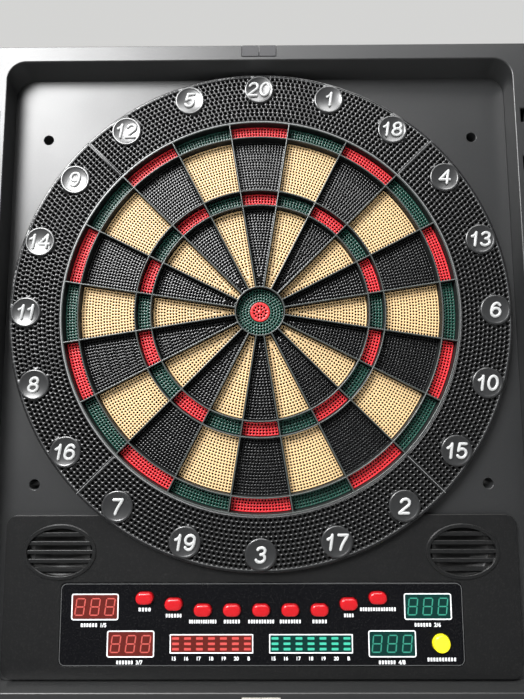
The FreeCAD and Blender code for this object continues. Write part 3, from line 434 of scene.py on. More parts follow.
# ---------------- perforated plates
def make_perforation_tree():
    """Closes the open face of a body with a plate with rows of funnel-mouthed holes, and copies it round.

    The body's open edge lies on z = 0. Each row of holes keeps one radius, and as many holes as fit are
    spread evenly along it, so columns drop out where a sector narrows.
    """
    F, I, G = "NodeSocketFloat", "NodeSocketInt", "NodeSocketGeometry"
    tree, given, out = group_tree(
        "perforated_plate", "GeometryNodeTree",
        [("Body", G, None), ("First Row", F, 0.1), ("Row Pitch", F, 0.003), ("Rows", I, 4),
         ("Columns", I, 20), ("Half Angle", F, 0.157), ("End Margin", F, 0.002), ("Hole Pitch", F, 0.003),
         ("Mouth Radius", F, 0.001), ("Bore Radius", F, 0.0006), ("Funnel Depth", F, 0.0008),
         ("Bore Depth", F, 0.004), ("Sides", I, 8), ("Disc Clearance", F, 0.0), ("Copies", I, 1),
         ("Copy Step", F, 0.0), ("First Copy", F, 0.0), *PLACE_AND_MATERIAL],
        [("Geometry", G)])
    put, calc = partial(add, tree), partial(maths, tree)

    # rows of points
    cells = calc("MULTIPLY", given["Rows"], given["Columns"])
    points = put("GeometryNodePoints", {"Count": cells})
    index = put("GeometryNodeInputIndex")
    row = calc("FLOOR", calc("DIVIDE", calc("ADD", index, 0.5), given["Columns"]))
    column = calc("SUBTRACT", index, calc("MULTIPLY", row, given["Columns"]))
    radius = calc("MULTIPLY_ADD", row, given["Row Pitch"], given["First Row"])
    reach = calc("SUBTRACT", calc("MULTIPLY", radius, given["Half Angle"]), given["End Margin"])
    span = calc("MULTIPLY", reach, 2.0)
    gaps = calc("FLOOR", calc("DIVIDE", span, given["Hole Pitch"]))
    step = calc("DIVIDE", span, calc("MULTIPLY", calc("MAXIMUM", gaps, 1.0), radius))
    turn = calc("MULTIPLY", calc("SUBTRACT", column, calc("MULTIPLY", gaps, 0.5)), step)
    spot = at_angle(tree, radius, turn)
    spare = calc("GREATER_THAN", column, calc("ADD", gaps, 0.5))

    # no holes under a number disc: distance to the nearest disc centre, by the law of cosines
    half = SECTOR / 2
    within = calc("FLOORED_MODULO", calc("ADD", turn, half), SECTOR)
    fold = calc("SUBTRACT", within, half)
    square = calc("ADD", calc("POWER", radius, 2.0), DISC_ORBIT ** 2)
    twice = calc("MULTIPLY", radius, 2 * DISC_ORBIT)
    cross = calc("MULTIPLY", twice, calc("COSINE", fold))
    away = calc("SQRT", calc("MAXIMUM", calc("SUBTRACT", square, cross), 0.0))
    covered = calc("LESS_THAN", away, given["Disc Clearance"])
    drop = calc("GREATER_THAN", calc("ADD", spare, covered), 0.5)
    placed = put("GeometryNodeSetPosition", {"Geometry": points, "Position": spot})
    kept = put("GeometryNodeDeleteGeometry", {"Geometry": placed, "Selection": drop}, domain="POINT")

    # face plate: the body's open edge filled, less the hole mouths
    beside = put("GeometryNodeInputMeshEdgeNeighbors")
    alone = put("FunctionNodeCompare", {2: beside, 3: 1}, data_type="INT", operation="EQUAL")
    rim = put("GeometryNodeMeshToCurve", {"Mesh": given["Body"], "Selection": alone})
    mouth = put("GeometryNodeCurvePrimitiveCircle",
                {"Resolution": given["Sides"], "Radius": given["Mouth Radius"]})
    mouths = copies_on(tree, kept, mouth)
    outlines = gather(tree, rim, mouths)
    plate = put("GeometryNodeFillCurve", {"Curve": outlines}, mode="TRIANGLES")

    # one hole: funnel, bore and bottom, facing inwards
    deep = calc("ADD", given["Funnel Depth"], given["Bore Depth"])
    funnel = put("GeometryNodeMeshCone",
                 {"Vertices": given["Sides"], "Radius Top": given["Mouth Radius"],
                  "Radius Bottom": given["Bore Radius"], "Depth": given["Funnel Depth"]}, fill_type="NONE")
    bore = put("GeometryNodeMeshCone",
               {"Vertices": given["Sides"], "Radius Top": given["Bore Radius"],
                "Radius Bottom": given["Bore Radius"], "Depth": given["Bore Depth"]}, fill_type="NONE")
    bottom = put("GeometryNodeMeshCircle", {"Vertices": given["Sides"], "Radius": given["Bore Radius"]},
                 fill_type="NGON")
    sunk = []
    for shape, sink in ((funnel, given["Funnel Depth"]), (bore, deep), (bottom, deep)):
        drop_by = put("ShaderNodeCombineXYZ", {"Z": calc("MULTIPLY", sink, -1.0)})
        moved = put("GeometryNodeTransform", {"Geometry": shape, "Translation": drop_by})
        sunk.append(moved)
    inward = put("GeometryNodeFlipFaces", {"Mesh": gather(tree, *sunk[:2])})
    hole = gather(tree, inward, sunk[2])
    holes = copies_on(tree, kept, hole)

    whole = gather(tree, holes, plate, given["Body"])
    welded = put("GeometryNodeMergeByDistance", {"Geometry": whole, "Distance": 0.004 * MM})
    soft = put("GeometryNodeSetShadeSmooth", {"Geometry": welded, "Shade Smooth": True}, domain="FACE")
    bend = put("GeometryNodeInputMeshEdgeAngle")
    sharp = calc("GREATER_THAN", bend, math.radians(66))
    crisp = put("GeometryNodeSetShadeSmooth",
                {"Geometry": soft, "Selection": sharp, "Shade Smooth": False}, domain="EDGE")

    # copies round the board, stood up on the wall
    spots = put("GeometryNodePoints", {"Count": given["Copies"]})
    copy = put("GeometryNodeInputIndex")
    lap = calc("MULTIPLY_ADD", copy, given["Copy Step"], given["First Copy"])
    spin = put("ShaderNodeCombineXYZ", {"Z": calc("MULTIPLY", lap, -1.0)})
    return finish_tree(tree, copies_on(tree, spots, crisp, spin), given, out)


PERFORATION = make_perforation_tree()


def run_tree(obj, tree, name, values):
    """Runs a geometry tree on obj with named inputs and returns the plain mesh object."""
    modifier = obj.modifiers.new("nodes", "NODES")
    modifier.node_group = tree
    for item in tree.interface.items_tree:
        if item.item_type == "SOCKET" and item.in_out == "INPUT" and item.name in values:
            modifier[item.identifier] = values[item.name]
    return baked(obj, name)


def arc_points(r, a0, a1, count):
    return [polar(r, a0 + (a1 - a0) * k / (count - 1)) for k in range(count)]


def sector_outline(r_in, r_out, half_angle, side_gap, out_count, in_count):
    """Corners of a sector whose sides run parallel to its spokes."""
    half_in = half_angle - math.asin(side_gap / r_in)
    half_out = half_angle - math.asin(side_gap / r_out)
    return arc_points(r_out, -half_out, half_out, out_count) + arc_points(r_in, half_in, -half_in, in_count)


def stack(bm, loops, closed):
    """Skin through loops of (outline, height), from the top down; the last loop is capped if closed."""
    rings = [[bm.verts.new((x, y, z)) for x, y in outline] for outline, z in loops]
    for upper, lower in zip(rings, rings[1:]):
        bridge(bm, upper, lower)
    if closed:
        bm.faces.new(rings[-1])
    return rings


def rounded_edge(edge):
    """(inset, depth) rows of a rounded top edge."""
    return [(edge, 0.0), (edge * 0.3, edge * 0.3), (0.0, edge)]


def sector_body(name, r_in, r_out, gap, edge, levels, counts, half_angle):
    """Body of a sector plate, open on top. levels are (inset, depth) rows below the rounded top edge."""
    bm = bmesh.new()
    loops = []
    for inset, depth in rounded_edge(edge) + levels:
        outline = sector_outline(r_in + inset, r_out - inset, half_angle, gap + inset, *counts)
        loops.append((outline, -depth))
    stack(bm, loops, True)
    bmesh.ops.recalc_face_normals(bm, faces=bm.faces)
    return mesh_object(name, bm)


HOLE_PITCH, HOLE_MARGIN = 2.57 * MM, 1.55 * MM
SEGMENT_HOLE = {"Hole Pitch": HOLE_PITCH, "Mouth Radius": 1.1 * MM, "Bore Radius": 0.88 * MM,
                "Funnel Depth": 0.35 * MM, "Bore Depth": 5.0 * MM, "Sides": 8}


def segment_rows(wall_in, wall_out):
    """Even rows of holes between two walls."""
    edge = CELL_WALL / 2 + CELL_GAP + HOLE_MARGIN
    rows = int((wall_out - wall_in - 2 * edge) / HOLE_PITCH + 1.02)
    spare = (wall_out - wall_in) - (rows - 1) * HOLE_PITCH
    return {"First Row": wall_in + spare / 2, "Row Pitch": HOLE_PITCH, "Rows": rows}


def make_segments(node, wall_in, wall_out, first_sector, material, slot, outer_lip=LIP):
    gap = CELL_WALL / 2 + CELL_GAP
    plate_depth = SEGMENT_DEPTH - LIP_T
    flare = -min(LIP, outer_lip)
    levels = [(0.0, plate_depth), (flare, plate_depth), (flare, SEGMENT_DEPTH)]
    body = sector_body(node + "_body", wall_in + gap, wall_out - gap, gap, SEGMENT_EDGE, levels, (13, 9),
                       SECTOR / 2)
    values = dict(SEGMENT_HOLE, **segment_rows(wall_in, wall_out))
    values.update({"Columns": 24, "Half Angle": SECTOR / 2, "End Margin": gap + HOLE_MARGIN, "Copies": 10,
                   "Copy Step": 2 * SECTOR, "First Copy": first_sector * SECTOR, "Material": material,
                   "Place": (BULL.x, FACE_Y, BULL.z)})
    made = run_tree(body, PERFORATION, node + "_perforated", values)
    return finish_piece(made, node, slot, None, (node,))


def make_bull(node, r_in, r_out, first_row, rows, material, slot, proud):
    """Round segment, open in the middle if r_in isn't zero."""
    bm = bmesh.new()
    levels = rounded_edge(SEGMENT_EDGE) + [(0.0, SEGMENT_DEPTH + proud)]
    outer = stack(bm, [(circle(r_out - inset, BULL_STEPS), -z) for inset, z in levels], r_in == 0)
    if r_in:
        inner = stack(bm, [(circle(r_in + inset, BULL_STEPS), -z) for inset, z in levels], False)
        bridge(bm, outer[-1], inner[-1])
    bmesh.ops.recalc_face_normals(bm, faces=bm.faces)
    values = dict(SEGMENT_HOLE)
    values.update({"First Row": first_row, "Row Pitch": HOLE_PITCH, "Rows": rows, "Columns": 60,
                   "Half Angle": math.pi, "End Margin": HOLE_PITCH / 2, "Copies": 1, "Material": material,
                   "Place": (BULL.x, FACE_Y - proud, BULL.z)})
    made = run_tree(mesh_object(node + "_body", bm), PERFORATION, node + "_perforated", values)
    return finish_piece(made, node, slot, None, (node,))


def make_target():
    bands = (("outer_single", TRIPLE_OUT, DOUBLE_IN, "black", BLACK, "tan", TAN, "segment", LIP),
             ("inner_single", BULL_WALL_R, TRIPLE_IN, "black", BLACK, "tan", TAN, "segment", LIP),
             ("double", DOUBLE_IN, TARGET_R, "red", RED, "green", GREEN, "target", 0.0),
             ("triple", TRIPLE_IN, TRIPLE_OUT, "red", RED, "green", GREEN, "target", LIP))
    for band, wall_in, wall_out, name_a, mat_a, name_b, mat_b, family, lip in bands:
        make_segments("%s_%s" % (band, name_a), wall_in, wall_out, 0, mat_a, "%s_%s" % (family, name_a), lip)
        make_segments("%s_%s" % (band, name_b), wall_in, wall_out, 1, mat_b, "%s_%s" % (family, name_b), lip)
    gap = CELL_WALL / 2 + CELL_GAP
    make_bull("outer_bull", 8.95 * MM, BULL_WALL_R - gap, 11.1 * MM, 4, GREEN, "target_green", 0.0)
    make_bull("inner_bull", 0.0, 8.6 * MM, 0.1 * MM, 3, BULL_RED, "target_red", 1.0 * MM)


make_target()


# ---------------- catch ring
RING_HOLE = {"Hole Pitch": 4.07 * MM, "Mouth Radius": 1.82 * MM, "Bore Radius": 1.15 * MM,
             "Funnel Depth": 1.1 * MM, "Bore Depth": 4.0 * MM, "Sides": 10, "First Row": 176.2 * MM,
             "Row Pitch": 3.74 * MM, "Rows": 11, "Columns": 90, "Half Angle": math.pi / 4,
             "End Margin": 3.25 * MM, "Copies": 1, "Disc Clearance": DISC_R - 0.6 * MM}


def make_catch_ring(name, centre):
    depth = RING_BACK_Y - RING_FACE_Y
    seam_gap, edge = 0.2 * MM, 0.6 * MM
    body = sector_body("ring_body", RING_IN, RING_OUT, seam_gap, edge, [(0.0, depth)], (91, 73), math.pi / 4)
    values = {**RING_HOLE, "First Copy": centre, "Material": RING, "Place": (BULL.x, RING_FACE_Y, BULL.z)}
    made = run_tree(body, PERFORATION, "catch_ring_%s_pitted" % name, values)
    finish_piece(made, "cabinet", "ring_black", None, ("catch_ring_" + name,))


for quarter, name in enumerate(("top", "right", "bottom", "left")):
    make_catch_ring(name, quarter * math.pi / 2)


def finish_on_ring(name, bm, smooth_degrees, material):
    """Flat work whose z = 0 is the catch ring's face, as a piece of the ring."""
    bmesh.ops.recalc_face_normals(bm, faces=bm.faces)
    obj = mesh_object(name, bm)
    obj.data.transform(Matrix.Translation((BULL.x, RING_FACE_Y, BULL.z)) @ UPRIGHT)
    smooth_by_angle(obj.data, smooth_degrees)
    finish_piece(obj, "cabinet", "ring_black", material)


def make_seam_beads():
    """Fine raised bead along each seam of the catch ring, in light grey as a painted highlight."""
    bm = bmesh.new()
    radius, lift, end_gap = 0.28 * MM, 0.12 * MM, 0.5 * MM
    turn = [math.radians(36 * k) for k in range(10)]
    for quarter in range(4):
        along = Vector((*polar(1, math.pi / 4 + quarter * math.pi / 2), 0))
        across = Vector((along.y, -along.x, 0)) * radius
        rings = []
        for reach in (RING_IN + end_gap, RING_OUT - end_gap):
            middle = along * reach
            rings.append([bm.verts.new(middle + across * math.cos(t)
                                       + Vector((0, 0, lift + radius * math.sin(t)))) for t in turn])
            bm.faces.new(rings[-1])
        bridge(bm, *rings)
    finish_on_ring("catch_ring_seam_beads", bm, 60, HIGHLIGHT_GREY)


def make_ring_lip(name, section, material):
    """Plain lip round the catch ring from its cross-section, as (radius, height) corners in millimetres."""
    bm = bmesh.new()
    lip = [[bm.verts.new((x, y, z * MM)) for x, y in circle(r * MM, RING_STEPS)] for r, z in section]
    for near, far in zip(lip, lip[1:] + lip[:1]):
        bridge(bm, near, far)
    finish_on_ring(name, bm, 40, material)


INNER_LIP_SECTION = ((172.2, -1.5), (172.2, -0.2), (172.5, 0.1), (173.5, 0.1), (173.8, -0.2), (173.8, -1.5))
OUTER_LIP_SECTION = ((215.4, -2.2), (215.4, -0.1), (215.6, 0.1), (216.1, 0.0), (218.3, -1.9), (218.3, -2.2))
make_seam_beads()
make_ring_lip("catch_ring_inner_lip", INNER_LIP_SECTION, HIGHLIGHT_GREY)
make_ring_lip("catch_ring_outer_lip", OUTER_LIP_SECTION, OUTER_LIP)


# ---------------- cell walls
def make_wall_tree():
    """Sweeps one wall profile round circles and along spokes."""
    F, I, G = "NodeSocketFloat", "NodeSocketInt", "NodeSocketGeometry"
    tree, given, out = group_tree(
        "cell_walls", "GeometryNodeTree",
        [("Rings", G, None), ("Spokes", I, 20), ("Inner Radius", F, 0.02), ("Outer Radius", F, 0.17),
         ("Width", F, 0.0012), ("Height", F, 0.011), ("Step", F, SECTOR), *PLACE_AND_MATERIAL],
        [("Geometry", G)])
    put, calc = partial(add, tree), partial(maths, tree)
    profile = put("GeometryNodeCurvePrimitiveQuadrilateral",
                  {"Width": given["Width"], "Height": given["Height"]})
    rounded = put("GeometryNodeFilletCurve",
                  {"Curve": profile, "Radius": 0.56 * MM, "Count": 4}, mode="POLY")
    rings = put("GeometryNodeMeshToCurve", {"Mesh": given["Rings"]})
    start = put("ShaderNodeCombineXYZ", {"Y": given["Inner Radius"]})
    end = put("ShaderNodeCombineXYZ", {"Y": given["Outer Radius"]})
    spoke = put("GeometryNodeCurvePrimitiveLine", {"Start": start, "End": end})
    spots = put("GeometryNodePoints", {"Count": given["Spokes"]})
    number = put("GeometryNodeInputIndex")
    lap = calc("MULTIPLY", calc("ADD", number, 0.5), given["Step"])
    spin = put("ShaderNodeCombineXYZ", {"Z": lap})
    lines = gather(tree, rings, copies_on(tree, spots, spoke, spin))
    level = put("GeometryNodeSetCurveNormal", {"Curve": lines}, mode="Z_UP")
    walls = put("GeometryNodeCurveToMesh", {"Curve": level, "Profile Curve": rounded, "Fill Caps": True})
    smooth = put("GeometryNodeSetShadeSmooth", {"Geometry": walls, "Shade Smooth": True})
    return finish_tree(tree, smooth, given, out)


def make_cell_walls():
    bm = bmesh.new()
    for r in (TARGET_R, DOUBLE_IN, TRIPLE_OUT, TRIPLE_IN, BULL_WALL_R):
        ring = [bm.verts.new((x, y, 0)) for x, y in circle(r, RING_STEPS)]
        for near, far in zip(ring, ring[1:] + ring[:1]):
            bm.edges.new((near, far))
    height = 11.8 * MM
    values = {"Spokes": 20, "Inner Radius": BULL_WALL_R, "Outer Radius": TARGET_R, "Width": CELL_WALL,
              "Height": height, "Step": SECTOR, "Material": WALLS,
              "Place": (BULL.x, WALL_TOP_Y + height / 2, BULL.z)}
    made = run_tree(mesh_object("wall_lines", bm), make_wall_tree(), "spider_walls", values)
    finish_piece(made, "cabinet", "spider_black", None, ("spider",))


make_cell_walls()


# ---------------- cabinet, panel and doors
refined("cabinet_frame", "cabinet", "cabinet_black", CABINET, 0.7 * MM)
refined("tray_floor", "cabinet", "cabinet_black", CABINET, 0.35 * MM)
refined("control_housing", "cabinet", "panel_black", PANEL, 0.35 * MM)
refined("control_fascia", "cabinet", "fascia_black", FASCIA, 0.12 * MM, 1)
refined("back_cover", "cabinet", "cabinet_black", CABINET, 0.2 * MM, 1)
refined("door_catch_top", "cabinet", "catch_dark", CATCH_DARK, 0.4 * MM)
refined("door_catch_bottom", "cabinet", "catch_pale", CATCH_PALE, 0.4 * MM)
refined("lenses_red", "cabinet", "lens_red", LENS_RED, 0.15 * MM, 1)
refined("lenses_green", "cabinet", "lens_green", LENS_GREEN, 0.15 * MM, 1)
for side in ("left", "right"):
    body = "door_" + side
    refined(body + "_pan", body, "cabinet_black", CABINET, 0.5 * MM)
    refined(body + "_skin", body, "door_skin_black", DOOR_SKIN, 0.4 * MM)
    refined(body + "_dart_rack", body, "rack_black", CABINET, 0.4 * MM)
    refined(body + "_strikers", body, "steel", STEEL, 0.15 * MM, 1)


def pill_loop(w, h, steps=12):
    """Outline with two half-round ends, or a circle if w equals h."""
    points = []
    for side, start in ((1, -90), (-1, 90)):
        for k in range(steps + 1):
            a = math.radians(start + 180 * k / steps)
            points.append((side * (w - h) / 2 + h / 2 * math.cos(a), h / 2 * math.sin(a)))
    return points


def make_button(name, w, h, material, slot):
    """Domed cap with a flange behind the panel and a stem that reaches the switch."""
    low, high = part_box(name)
    dome = [(3.2, 0.0), (2.1, 0.07), (1.3, 0.24), (0.65, 0.6), (0.2, 1.15), (0.0, 1.9)]
    loops = [(pill_loop(w - 2 * i * MM, h - 2 * i * MM), -z * MM) for i, z in dome]
    cap_back, flange_back, stem_back = 6.8 * MM, 7.8 * MM, high.y - low.y
    flange, stem = pill_loop(w + 3 * MM, h + 3 * MM), pill_loop(6 * MM, 6 * MM)
    loops += [(pill_loop(w, h), -cap_back), (flange, -cap_back), (flange, -flange_back), (stem, -flange_back),
              (stem, -stem_back)]
    bm = bmesh.new()
    rings = stack(bm, loops, True)
    bm.faces.new(rings[0])
    bmesh.ops.remove_doubles(bm, verts=bm.verts, dist=0.001 * MM)
    bmesh.ops.recalc_face_normals(bm, faces=bm.faces)
    made = mesh_object(name + "_cap", bm)
    centre = (low + high) / 2
    made.data.transform(Matrix.Translation((centre.x, low.y, centre.z)) @ UPRIGHT)
    smooth_by_angle(made.data, 50)
    finish_piece(made, name, slot, material, (name,))


PILL_SIZE, START_SIZE = (14.7 * MM, 9.4 * MM), (14.1 * MM, 14.1 * MM)
for number in range(1, 10):
    make_button("button_red_%d" % number, *PILL_SIZE, BUTTON_RED, "button_red")
make_button("button_start", *START_SIZE, BUTTON_YELLOW, "button_yellow")

for node, material in (("cover_screws", STEEL), ("hinge_pins_left", STEEL), ("hinge_pins_right", STEEL),
                       ("target_screws", STEEL), ("board_screws", STEEL), ("panel_screws", STEEL),
                       ("power_jack", SPEAKER), ("tact_switches", MODULE), ("led_modules", MODULE),
                       ("control_board", BOARD), ("sensor_membrane", FILM), ("sensor_pad", PAD),
                       ("target_backplate", BACKPLATE), ("speaker_left", SPEAKER),
                       ("speaker_right", SPEAKER)):
    paint(node, material)


# ---------------- number discs
NUMBERS = (20, 1, 18, 4, 13, 6, 10, 15, 2, 17, 3, 19, 7, 16, 8, 11, 14, 9, 12, 5)
NUMERAL_H = 13.9 * MM


def make_round_tree():
    """Puts copies of a shape round the bull, upright, and stands the board up."""
    F, I, G = "NodeSocketFloat", "NodeSocketInt", "NodeSocketGeometry"
    tree, given, out = group_tree(
        "round_the_board", "GeometryNodeTree",
        [("Shape", G, None), ("Count", I, 20), ("Radius", F, 0.2), ("Step", F, SECTOR), *PLACE_AND_MATERIAL],
        [("Geometry", G)])
    put, calc = partial(add, tree), partial(maths, tree)
    spots = put("GeometryNodePoints", {"Count": given["Count"]})
    turn = calc("MULTIPLY", put("GeometryNodeInputIndex"), given["Step"])
    placed = put("GeometryNodeSetPosition",
                 {"Geometry": spots, "Position": at_angle(tree, given["Radius"], turn)})
    return finish_tree(tree, copies_on(tree, placed, given["Shape"]), given, out)


def lathe(outline, count=64):
    """Turned shape from (radius, height) points, first and last on the axis."""
    bm = bmesh.new()
    rings = [[bm.verts.new((x, y, z)) for x, y in (circle(r, count) if r > 0 else [(0, 0)])]
             for r, z in outline]
    for upper, lower in zip(rings, rings[1:]):
        for i in range(count):
            j = (i + 1) % count
            above, below = len(upper), len(lower)
            corners = [upper[i % above], upper[j % above], lower[j % below], lower[i % below]]
            bm.faces.new(list(dict.fromkeys(corners)))
    bmesh.ops.recalc_face_normals(bm, faces=bm.faces)
    return bm


def make_discs():
    """Dished disc with a rounded border and a short spigot behind."""
    depth = RING_FACE_Y - DISC_FACE_Y
    edge = [(DISC_R - 2.6 * MM, -0.45 * MM), (DISC_R - 2.2 * MM, -0.25 * MM), (DISC_R - 1.7 * MM, -0.05 * MM),
            (DISC_R - 1.1 * MM, 0.0), (DISC_R - 0.5 * MM, -0.12 * MM), (DISC_R - 0.12 * MM, -0.5 * MM),
            (DISC_R, -0.9 * MM), (DISC_R, -depth), (2.5 * MM, -depth), (2.5 * MM, -depth - 4 * MM)]
    shape = mesh_object("disc_shape", lathe([(0, -0.45 * MM)] + edge + [(0, -depth - 4 * MM)]))
    smooth_by_angle(shape.data, 40)
    values = {"Count": 20, "Radius": DISC_ORBIT, "Step": SECTOR, "Place": (BULL.x, DISC_FACE_Y, BULL.z),
              "Material": DISC}
    made = run_tree(shape, make_round_tree(), "number_disc_plates", values)
    finish_piece(made, "cabinet", "disc_silver", None, ("number_discs",))


def text_mesh(text, height, extrude):
    """Flat printed text as a mesh, centred on the origin, facing +Z, with digits of the given height."""
    curve = bpy.data.curves.new("text", "FONT")
    curve.body = text
    curve.align_x = "CENTER"
    curve.resolution_u = 4
    curve.size = height / 0.72
    curve.extrude = extrude
    curve.offset = 0.1 * MM
    letters = baked(bpy.data.objects.new("text", curve), "text")
    mesh = letters.data
    xs, ys = ([v.co[axis] for v in mesh.vertices] for axis in (0, 1))
    scale = height / (max(ys) - min(ys))
    centred = Matrix.Translation((-(min(xs) + max(xs)) / 2, -(min(ys) + max(ys)) / 2, 0))
    mesh.transform(Matrix.Diagonal((scale, scale, 1, 1)) @ centred)
    bpy.data.objects.remove(letters)
    return mesh


def oval(cx, cy, rx, ry, start, end, count=18):
    turns = [math.radians(start + (end - start) * k / count) for k in range(count + 1)]
    return [(cx + rx * math.cos(a), cy + ry * math.sin(a)) for a in turns]


SIX = [oval(0, 0.31, 0.5, 0.31, 90, 450, 28), oval(0.02, 0.5, 0.52, 0.5, 42, 180) + [(-0.5, 0.31)]]
DIGIT_STROKES = {
    "0": [oval(0, 0.5, 0.5, 0.5, 90, 450, 32)],
    "1": [[(-0.44, 0.7), (-0.2, 0.77), (-0.05, 0.88), (0.0, 1.0), (0.0, 0.0)]],
    "2": [oval(0, 0.72, 0.48, 0.28, 165, -40) + [(-0.47, 0.06), (-0.5, 0), (0.5, 0)]],
    "3": [oval(-0.02, 0.76, 0.44, 0.24, 155, -90), oval(0, 0.265, 0.5, 0.265, 90, -155)],
    "4": [[(0.22, 0), (0.22, 1), (-0.66, 0.3), (0.5, 0.3)]],
    "5": [[(0.42, 1), (-0.3, 1), (-0.4, 0.5)] + oval(0, 0.32, 0.5, 0.32, 140, -150)],
    "6": SIX,
    "7": [[(-0.48, 1), (0.5, 1), (0.42, 0.84), (0.2, 0.55), (0.02, 0.25), (-0.06, 0)]],
    "8": [oval(0, 0.76, 0.42, 0.24, 90, 450, 24), oval(0, 0.265, 0.5, 0.265, 90, 450, 28)],
    "9": [[(-x, 1 - y) for x, y in stroke] for stroke in SIX]}
DIGIT_SPAN = {"1": (-0.44, 0.0), "4": (-0.66, 0.5)}
TUBE_R, DIGIT_LEAN = 1.22 * MM, 0.15


def split_at_corners(stroke):
    """The stroke as pieces that end at its sharp corners, so that each bends gently."""
    pieces, start = [], 0
    for k in range(1, len(stroke) - 1):
        before = Vector(stroke[k]) - Vector(stroke[k - 1])
        after = Vector(stroke[k + 1]) - Vector(stroke[k])
        if before.angle(after) > math.radians(45):
            pieces.append(stroke[start:k + 1])
            start = k
    return pieces + [stroke[start:]]


DOME = ((0.5, 0.87), (0.85, 0.53), (0.98, 0.15))


def numeral_mesh(text):
    """Digits bent from round bar with domed ends, half sunk, centred on the origin, facing +Z."""
    curve = bpy.data.curves.new("numeral", "CURVE")
    curve.dimensions = "3D"
    curve.bevel_depth = TUBE_R
    curve.bevel_resolution = 2
    curve.use_fill_caps = True
    wide, high = 7.4 * MM, NUMERAL_H - 2 * TUBE_R
    spaces = [5.0 * MM if digit == "1" else 3.1 * MM for digit in text[:-1]] + [0]
    spans = [DIGIT_SPAN.get(digit, (-0.5, 0.5)) for digit in text]
    left = -(sum((b - a) * wide for a, b in spans) + sum(spaces)) / 2
    for digit, (a, b), space in zip(text, spans, spaces):
        for stroke in [piece for whole in DIGIT_STROKES[digit] for piece in split_at_corners(whole)]:
            line = []
            for x, y in stroke:
                rise = (y - 0.5) * high
                line.append(Vector((left + (x - a) * wide + DIGIT_LEAN * rise, rise, 0)))
            ring = (line[0] - line[-1]).length < 0.01 * MM
            points = [(v, 1.0) for v in (line[:-1] if ring else line)]
            if not ring:
                for end, before, spot in ((line[0], line[1], 0), (line[-1], line[-2], None)):
                    way = (end - before).normalized() * TUBE_R
                    dome = [(end + way * reach, size) for reach, size in DOME]
                    points = dome[::-1] + points if spot == 0 else points + dome
            spline = curve.splines.new("POLY")
            spline.points.add(len(points) - 1)
            for point, (v, size) in zip(spline.points, points):
                point.co = (*v, 1)
                point.radius = size
            spline.use_cyclic_u = ring
        left += (b - a) * wide + space
    made = baked(bpy.data.objects.new("numeral", curve), "numeral")
    mesh = made.data
    mesh.transform(Matrix.Diagonal((1, 1, 0.75, 1)))
    bpy.data.objects.remove(made)
    return mesh


def joined(name, meshes, material):
    """One mesh object from (mesh, place) pairs; each mesh is flat work that faces +Z and is stood up."""
    bm = bmesh.new()
    for mesh, place in meshes:
        mesh.transform(Matrix.Translation(place) @ UPRIGHT)
        bm.from_mesh(mesh)
    for face in bm.faces:
        face.material_index = 0
    obj = mesh_object(name, bm)
    obj.data.materials.append(material)
    return obj


def make_numerals():
    made = []
    for k, number in enumerate(NUMBERS):
        x, z = polar(DISC_ORBIT, k * SECTOR)
        made.append((numeral_mesh(str(number)), (BULL.x + x, DISC_FACE_Y, BULL.z + z)))
    obj = joined("disc_numerals", made, NUMERAL)
    smooth_by_angle(obj.data, 50)
    finish_piece(obj, "cabinet", "disc_silver")


make_discs()
make_numerals()


# ---------------- print and light bars on the control panel
FASCIA_LOW, FASCIA_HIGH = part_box("control_fascia")
PRINT_Y = FASCIA_Y - 0.06 * MM


def rounded_loop(w, h, r, steps=5):
    points = []
    for cx, cy, start in ((1, 1, 0), (-1, 1, 90), (-1, -1, 180), (1, -1, 270)):
        for k in range(steps + 1):
            a = math.radians(start + 90 * k / steps)
            points.append((cx * (w / 2 - r) + r * math.cos(a), cy * (h / 2 - r) + r * math.sin(a)))
    return points


def closed_mesh(name, bm):
    bmesh.ops.recalc_face_normals(bm, faces=bm.faces)
    mesh = bpy.data.meshes.new(name)
    bm.to_mesh(mesh)
    bm.free()
    return mesh


def frame_mesh(w, h, r, line, thick):
    """Rounded rectangular outline, line wide and thick high, facing +Z, with its back on z = 0."""
    bm = bmesh.new()
    loops = []
    for grow, z in ((0, 0), (0, thick), (-line, thick), (-line, 0)):
        corners = rounded_loop(w + 2 * grow, h + 2 * grow, max(r + grow, 0.1 * MM))
        loops.append([bm.verts.new((x, y, z)) for x, y in corners])
    for near, far in zip(loops, loops[1:] + loops[:1]):
        bridge(bm, near, far)
    return closed_mesh("frame", bm)


def bar_mesh(corners, thick):
    """Flat bar through corners, thick high, with its back on z = 0."""
    bm = bmesh.new()
    top = [bm.verts.new((x, y, thick)) for x, y in corners]
    base = [bm.verts.new((x, y, 0)) for x, y in corners]
    bm.faces.new(top)
    bm.faces.new(base[::-1])
    bridge(bm, base, top)
    return closed_mesh("bar", bm)


DIGIT_W, DIGIT_H, DIGIT_PITCH = 7.0 * MM, 13.0 * MM, 12.3 * MM
BAR_W, SLANT, PRINT_T = 0.95 * MM, 0.12, 0.05 * MM

# Frames as (width, height, corner radius, line, thickness)
SCORE_FRAME = (38.9 * MM, 20.9 * MM, 1.9 * MM, 0.9 * MM, 0.1 * MM)
SCORE_SURROUND = (41.2 * MM, 23.6 * MM, 2.2 * MM, 1.5 * MM, 0.08 * MM)
BARS_FRAME = (68.3 * MM, 15.0 * MM, 0.5 * MM, 0.85 * MM, 0.1 * MM)
BARS_SURROUND = (70.6 * MM, 17.4 * MM, 0.6 * MM, 1.3 * MM, 0.08 * MM)


